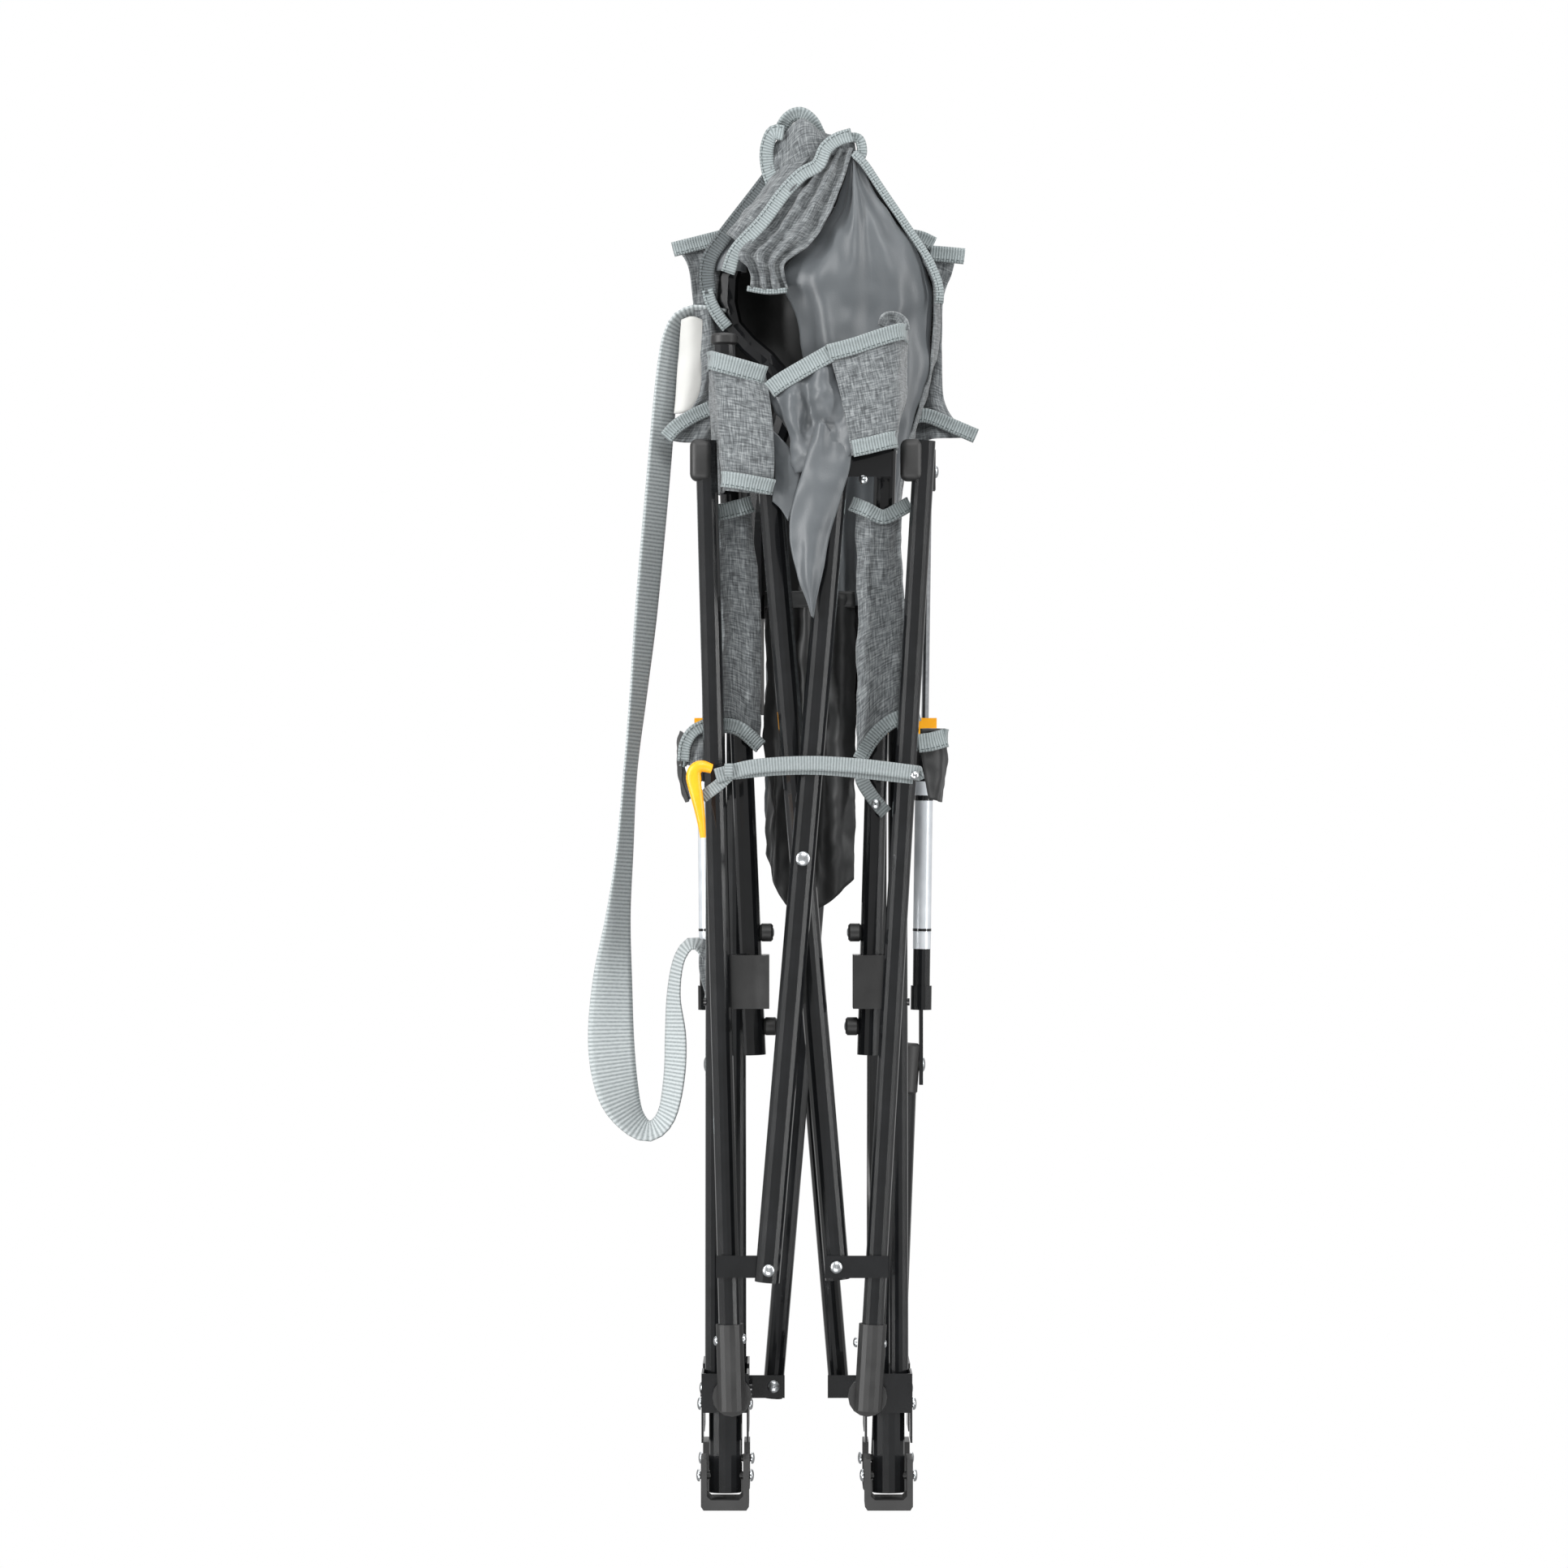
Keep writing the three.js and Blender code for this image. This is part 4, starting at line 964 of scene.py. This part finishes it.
arm_trims = {
    "left": [
        binding(
            "arm_left_top_binding",
            [
                (-57, -36, 880), (-55.5, -72, 879), (-52, -96, 876.5), (-35, -101, 871.5),
                (-12.5, -96, 865.5),
            ],
            14, None, None, (-0.7, -0.7, 0),
        ),
        binding(
            "arm_left_low_binding",
            [(-47, -36, 789), (-45, -66, 788), (-44.5, -98, 787), (-29, -103, 784.5), (-6, -96, 780.5)], 12,
            None, None, (-0.7, -0.7, 0),
        ),
    ],
    "right": [
        binding(
            "arm_right_top_binding",
            [(35, -108, 881.5), (55.5, -108, 887), (78.5, -104, 895), (92, -94, 899), (96.5, -52, 899)],
            12.5, None, None, (0.7, -0.7, 0),
        ),
        binding(
            "arm_right_low_binding",
            [(53.5, -111, 809), (67, -109, 812), (82, -105, 816), (87.5, -92, 817.5), (87, -52, 817.5)],
            12.5, None, None, (0.7, -0.7, 0),
        ),
        binding(
            "arm_right_top_roll",
            [(77, -84, 903.5), (79.5, -80, 910.5), (87, -78, 911), (92, -80, 907), (93.5, -84, 902)], 8,
            None, heather, (0.2, -0.9, -0.4),
        ),
    ],
}
for side, arm in (("left", left_arm), ("right", right_arm)):
    arm_piece(arm)
    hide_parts("arm_front_" + side, "arm_rear_" + side)
    declare(arm)
    for trim in arm_trims[side]:
        arm_piece(trim)
print("arm rests 2")

# %% [markdown]
# Between the arm rests the coated inside of the right arm's side panel is folded to the front. It has its
# own binding along the top, and narrows to a long tongue that hangs between the scissor tubes.
# %% Folded side panel
side_panel = cloth("side_panel_coated", [
    [(-11, -88, 858), (-7.5, -88, 845.5), (0, -87, 825.5), (11.5, -86, 804), (16, -85, 796.5)],
    [(-1, -93, 863.5), (6.5, -98, 843), (11.5, -99, 824), (20.5, -99, 804), (25.5, -98, 792.5)],
    [(11.5, -96, 870.5), (19, -96, 845.5), (24, -97, 826.5), (31.5, -102, 806.5), (36.5, -102, 795)],
    [(23, -99, 877), (31.5, -102, 849), (38, -105, 828), (43, -106, 811.5), (45.5, -104, 801.5)],
    [(36.5, -100, 883.5), (44.5, -102, 853), (50, -104, 830.5), (53, -104, 814), (53.5, -104, 805)],
], "post_right", coated, heather, [(1.8, 2.2, 0.9, 0.3)], (6.0, 30.0), (48, 36))
tongue = cloth("side_panel_tongue", [
    [
        (24.5, -100, 826.5), (19, -103, 804), (13, -104, 782.5), (6.5, -105, 760), (6, -105, 736),
        (13, -105, 710.5), (21.5, -105, 683),
    ],
    [
        (30.5, -106, 830.5), (29, -109, 799), (24, -110, 776), (19, -111, 753.5), (17, -111, 729.5),
        (19, -109, 708), (23, -106, 682.5),
    ],
    [
        (40.5, -105, 820.5), (41.5, -107, 795), (36.5, -108, 772.5), (31.5, -109, 749.5), (28, -109, 728.5),
        (25.5, -108, 707), (24, -106, 682.5),
    ],
    [
        (53, -106, 807.5), (51, -106, 792.5), (45, -106, 772.5), (39, -106, 751), (34, -106, 729.5),
        (29, -106, 707), (24.5, -105, 681.5),
    ],
], "post_right", coated, heather, [(1.0, 1.5, 0.6, 0)], (2.4, 40.0), (64, 24))
left_bit = cloth("side_panel_left_bit", [
    [(-8.5, -84, 826.5), (-6, -84, 805), (-6, -83, 786), (-7, -82, 771)],
    [(-1, -86, 819), (1.5, -87, 799), (1.5, -86, 778.5), (-1, -84, 765)],
    [(9, -86, 807.5), (14, -88, 794), (10, -87, 773.5), (4.5, -85, 756)],
], "post_left", coated, heather, [], (1.5, 20.0), (30, 16))
panel_binding = binding(
    "side_panel_binding", [(-9.5, -93, 854.5), (-1, -97, 860.5), (16.5, -102, 870.5), (36.5, -107, 881.5)],
    13, "post_right",
)
for piece, held in ((side_panel, "folded"), (tongue, "hung"), (left_bit, "folded")):
    declare(piece)
print("side panel 3 pieces")

# %% [markdown]
# A woven sleeve covers the front of each arm post between the arm rest and the pockets. Its top and
# bottom edges are bound; the cloth is slack, so it crowns over the post and creases a little across it.
# %% Post sleeves
left_sleeve = cloth("post_sleeve_left", [
    [(-49, -50, 766), (-48.5, -50, 710.5), (-47, -50, 660), (-46, -50, 600)],
    [(-41.5, -57, 768), (-40, -59, 710.5), (-38.5, -59, 660), (-37, -58, 598.5)],
    [(-31.5, -58, 770), (-27.5, -60, 710.5), (-25, -60, 660), (-26.5, -59, 589.5)],
    [(-23, -52, 770), (-18, -53, 710.5), (-15.5, -53, 660), (-16, -52, 586)],
], "post_left", heather, coated, [(0.6, 1.5, 1.2, 0)], (2.4, 26.0), (70, 22))
right_sleeve = cloth("post_sleeve_right", [
    [(57, -50, 766), (57, -50, 710.5), (57.5, -50, 660), (58, -50, 574.5)],
    [(67, -57, 762.5), (68, -59, 710.5), (69.5, -59, 660), (70.5, -58, 591)],
    [(79.5, -58, 761), (82, -61, 710.5), (84.5, -62, 660), (86, -59, 603.5)],
    [(93.5, -50, 767.5), (92, -50, 710.5), (96, -50, 660), (102, -50, 607.5)],
], "post_right", heather, coated, [(0.8, 1.5, 1.2, 0.3)], (2.6, 28.0), (70, 28))
sleeve_trims = [
    binding(
        "sleeve_left_top", [(-51, -53, 763.5), (-41.5, -60, 765), (-31.5, -61, 767.5), (-22.5, -56, 770.5)],
        12.5, "post_left",
    ),
    binding(
        "sleeve_left_low", [(-46.5, -53, 601), (-37.5, -61, 600), (-29, -62, 596), (-16, -55, 584.5)], 11,
        "post_left",
    ),
    binding(
        "sleeve_right_top",
        [(53, -53, 771), (64.5, -60, 766), (77, -62, 760), (88.5, -60, 765), (98.5, -53, 771)], 11,
        "post_right",
    ),
    binding(
        "sleeve_right_low", [(59.5, -53, 574.5), (70.5, -61, 592), (86, -62, 605), (105.5, -53, 610)], 11,
        "post_right",
    ),
]
for side, sleeve in (("left", left_sleeve), ("right", right_sleeve)):
    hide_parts("sleeve_" + side)
    declare(sleeve)
print("sleeves 2")

# %% [markdown]
# The seat is slung between the posts in front and the canes behind. Folded, its two halves hang down and come
# close together at the bottom, pleated between the scissor tubes. They show the darker copy of the coated
# cloth, which is painted shade.
# %% Seat
SEAT_TOP_Z, SEAT_MIDDLE_Z, SEAT_LOW_Z = 700, 570, 456
PLEATS = [  # place across, how far out (behind if over 0), and the height of the low edge
    (-12, 0, 502), (-4, -7, 474), (8, 5, 458), (19, -8, 456), (32, 5, 461), (46, -7, 472), (56, 0, 482),
]
for end, sign, y_top, y_low in (("front", -1, -35.5, -5), ("rear", 1, 41.5, 11)):
    rails = []
    for x, out, z_low in PLEATS[::-sign]:
        y_out = sign * abs(out) * (1 if out < 0 else -0.6)
        y_end = y_top + (y_low - y_top) * (SEAT_TOP_Z - z_low) / (SEAT_TOP_Z - SEAT_LOW_Z)
        top = (x, y_top + y_out * 0.5, SEAT_TOP_Z + 2)
        middle = (x, (y_top + y_low) / 2 + y_out, SEAT_MIDDLE_Z)
        rails.append([top, middle, (x, y_end + y_out * 0.3, z_low)])
    folds = [(0.8, 5, 0.3, 0)]
    seat = cloth(f"seat_{end}_cloth", rails, None, painted_shade_coated, coated, folds, (5.0, 34.0), (60, 60))
    left, right = f"seat_{end}_left", f"seat_{end}_right"
    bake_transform(seat)
    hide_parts(left, right)
    hem = binding(
        f"seat_{end}_hem", [(x, y_top + sign * 5, 698) for x in (-13, 8, 32, 56)], 12, None, painted_shade_coated,
    )
    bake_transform(hem)
    declare(seat)
print("seat halves 2")

# %% [markdown]
# Pockets hang outside the posts: a flattened cup holder on the left and a flat side pocket on the right,
# each with a bound rim.
# %% Pockets
# The outer faces of both pockets are the darker copy of the coated cloth: painted shade.
cup = cloth("cup_holder_bag", [
    [(-76, -46, 594), (-76.5, -46, 578.5), (-75.5, -45, 559.5), (-71.5, -43, 544.5)],
    [(-79, -18, 597), (-80.5, -18, 578.5), (-79, -18, 559.5), (-74, -18, 542)],
    [(-79, 14, 597), (-80.5, 14, 578.5), (-79, 14, 559.5), (-74, 14, 542)],
    [(-76, 32, 594), (-76.5, 32, 578.5), (-75.5, 31, 559.5), (-71.5, 30, 544.5)],
][::-1], "post_left", painted_shade_coated, coated, [(0.8, 2, 0.4, 0)], (2.5, 26.0), (30, 40))
pocket = cloth("side_pocket_bag", [
    [(106, -46, 598.5), (107.5, -46, 578.5), (110, -45, 559.5), (112.5, -43, 544.5)],
    [(123.5, -38, 598.5), (124.5, -38, 578.5), (123.5, -38, 559.5), (121, -36, 543)],
    [(127.5, -6, 598.5), (127.5, -6, 578.5), (126, -6, 559.5), (123.5, -6, 542)],
    [(123.5, 26, 598.5), (123.5, 26, 578.5), (122.5, 25, 559.5), (120, 24, 544.5)],
], "post_right", painted_shade_coated, coated, [(0.8, 2, 0.4, 0)], (2.5, 26.0), (30, 40))
rims = [
    binding(
        "cup_holder_rim", [(-58, -50, 601.5), (-68, -50, 596), (-74, -48, 586), (-75.5, -46, 573.5)], 9,
        "post_left",
    ),
    binding(
        "cup_holder_side_rim",
        [(-75.5, -46, 573.5), (-79, -18, 574.5), (-79, 14, 574.5), (-75.5, 33, 574.5)], 9, "post_left",
        None, (-1, 0, 0),
    ),
    binding("side_pocket_rim", [(104.5, -50, 587), (115, -48, 588.5), (125.5, -42, 591.5)], 14, "post_right"),
    binding(
        "side_pocket_side_rim", [(125.5, -42, 591.5), (128.5, -8, 591.5), (125, 27, 591.5)], 14,
        "post_right", None, (1, 0, 0),
    ),
]
for piece, node, body in ((cup, "cup_holder", "post_left"), (pocket, "side_pocket", "post_right")):
    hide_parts(node)
    declare(piece)
print("pockets 2")

# %% [markdown]
# One strap holds the folded chair together. It goes across the front in two layers, through a keeper,
# bows up a little in the middle, and ends in a moulded hook. A webbing tab on the right post, a scrap of
# cloth at the cup holder and the twisted end of the carry strap are made here too.
# %% Closing strap and hook
strap = binding(
    "fold_strap_band",
    [
        (-50, -108, 562), (-37, -108, 565.5), (-21.5, -109, 569), (1, -109, 571), (28.5, -109, 571.5),
        (60.5, -109, 569.5), (86, -108, 566.5), (101, -106, 564.5), (104, -92, 564), (103, -74, 564),
    ],
    11, "fold_strap", webbing, (0, -1, 0), 0.5, 1.6,
)
under = binding(
    "fold_strap_under_layer",
    [(-40, -105.5, 565), (-2.5, -105.5, 568.5), (35.5, -105.5, 568.5), (99.5, -104.5, 562)], 12,
    "fold_strap", webbing, (0, -1, 0), 0.3, 1.4,
)
keeper = binding(
    "fold_strap_keeper", [(-40, -110.5, 571.5), (-40, -111, 566.5), (-40, -110.5, 561.5)], 6, "fold_strap",
    webbing, (0, -1, 0), 0.4, 1.6,
)
tail = binding(
    "fold_strap_tail",
    [(-40, -107, 562.5), (-47.5, -106, 555.5), (-55.5, -104, 549.5), (-60.5, -102, 545.5)], 9, "fold_strap",
    webbing, (0, -1, 0), 0.3, 1.4,
)
post_tab = binding(
    "post_webbing_tab",
    [(60, -56, 568.5), (62, -57, 558), (68, -57, 548), (74.5, -56, 539.5), (80, -55, 533.5)], 10,
    "post_right", webbing,
)
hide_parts("fold_strap")
declare(strap)
loop_cloth = cloth("cup_holder_loop_cloth", [
    [(-71.5, -44, 598.5), (-73.5, -43, 586), (-73, -42, 571)],
    [(-65.5, -47, 601), (-66.5, -46, 586), (-66.5, -45, 569.5)],
    [(-59, -48, 600), (-59, -47, 586), (-60.5, -46, 572)],
], "post_left", heather, coated, [], (1.5, 14.0), (16, 12))
declare(loop_cloth)
frayed = binding(
    "carry_strap_frayed_end",
    [(-58, 40, 433.5), (-61, 38, 421), (-60.5, 37, 408), (-57, 36, 394.5), (-54.5, 36, 383)], 7,
    "rear_left", heather,
)
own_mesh(frayed)
HOOK = [
    (-53, -106, 567.5), (-60.5, -107, 569.5), (-65.5, -107, 566.5), (-66.5, -107, 559.5),
    (-63.5, -107, 543.5), (-61, -107, 529), (-59.5, -106, 515.5),
]
HOOK_STEPS = 40
HOOK_SIDES = 16
HOOK_HALF_DEPTH_MM = 3.2


def hook_radius(share):
    """Half the hook's width: it swells to a shoulder, then narrows to its tip."""
    return 7.4 - 5.2 * share if share > 0.3 else 3.6 + 7.4 * share


hook_path = spline(HOOK, HOOK_STEPS)
shape = bmesh.new()
rings = []
for i, point in enumerate(hook_path):
    radius = hook_radius(i / (HOOK_STEPS - 1))
    along = Vector(hook_path[min(i + 1, HOOK_STEPS - 1)] - hook_path[max(i - 1, 0)]).normalized()
    across = along.cross(Vector((0, 1, 0))).normalized()
    deep = across.cross(along)
    ring = []
    for k in range(HOOK_SIDES):
        a = 2 * math.pi * k / HOOK_SIDES
        wide, thick = across * radius * math.cos(a), deep * min(radius, HOOK_HALF_DEPTH_MM) * math.sin(a)
        ring.append(shape.verts.new((Vector(point) + wide + thick) * MM))
    rings.append(ring)
for low, high in zip(rings, rings[1:]):
    for k in range(HOOK_SIDES):
        after = (k + 1) % HOOK_SIDES
        shape.faces.new([low[k], low[after], high[after], high[k]])
shape.faces.new(rings[0][::-1])
shape.faces.new(rings[-1])
bmesh.ops.recalc_face_normals(shape, faces=shape.faces)
mesh = bpy.data.meshes.new("strap_hook_moulding")
shape.to_mesh(mesh)
shape.free()
smooth_by_angle(mesh, 60)
hook = new_piece("strap_hook_moulding", mesh, acetal, "fold_strap")
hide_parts("strap_hook")
print("closing strap and hook")

# %% [markdown]
# The carry strap is 38 mm webbing, sewn to the back at the top left and looped down beside the chair. It
# twists as it hangs, so each point of its route has the half-width that shows from the front. The rest of
# the width lies in depth, drawn at little over half, so the strap is narrower than real webbing where it
# stands edge-on.
# %% Carry strap
STRAP_HALF_MM = 19
DEPTH_SHARE = 0.55
CARRY_Y = 48
CARRY_MM = 1.6
CARRY_STEPS, CARRY_ACROSS = 150, 9
CARRY_ROUTE = [
    (-44.5, 922.5, 5), (-60.5, 925.5, 5), (-72.5, 924, 6), (-83, 913.5, 7), (-89.5, 880.5, 8),
    (-98, 786, 8.5), (-106.5, 691.5, 8), (-112.5, 628.5, 6), (-119, 565.5, 4.5),
    (-123.5, 502.5, 6), (-128.5, 452.5, 9), (-133, 402, 15), (-134, 351.5, 18), (-128.5, 313.5, 16),
    (-117, 291, 10), (-103, 283.5, 7),
    (-90.5, 296, 7), (-84.5, 326.5, 8), (-83.5, 358, 8), (-85, 389.5, 5), (-81, 417.5, 4), (-71.5, 431, 4),
    (-61.5, 426, 4), (-56.5, 408, 4), (-54.5, 385.5, 5),
]
route = spline(CARRY_ROUTE, CARRY_STEPS)
rails = [[], [], []]
for i, (x, z, half) in enumerate(route):
    before, after = route[max(i - 1, 0)], route[min(i + 1, CARRY_STEPS - 1)]
    along = Vector((after[0] - before[0], 0, after[1] - before[1])).normalized()
    across = along.cross(Vector((0, 1, 0)))
    deep = math.sqrt(STRAP_HALF_MM**2 - half**2) * DEPTH_SHARE
    middle = Vector((x, CARRY_Y, z))
    for rail, share in zip(rails, (1, 0, -1)):
        rail.append(middle + across * half * share + Vector((0, deep * share, 0)))
lines = np.array(rails, float).transpose(1, 0, 2)
grid = np.array([spline(line, CARRY_ACROSS) for line in lines])
carry = make_sheet("carry_strap_webbing", grid, (carry_webbing,), CARRY_MM, 0)
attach(carry, "rear_left")
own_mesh(carry)
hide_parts("carry_strap")
declare(carry)
print("carry strap", round(carry["cut_mm"][1]), "mm long")
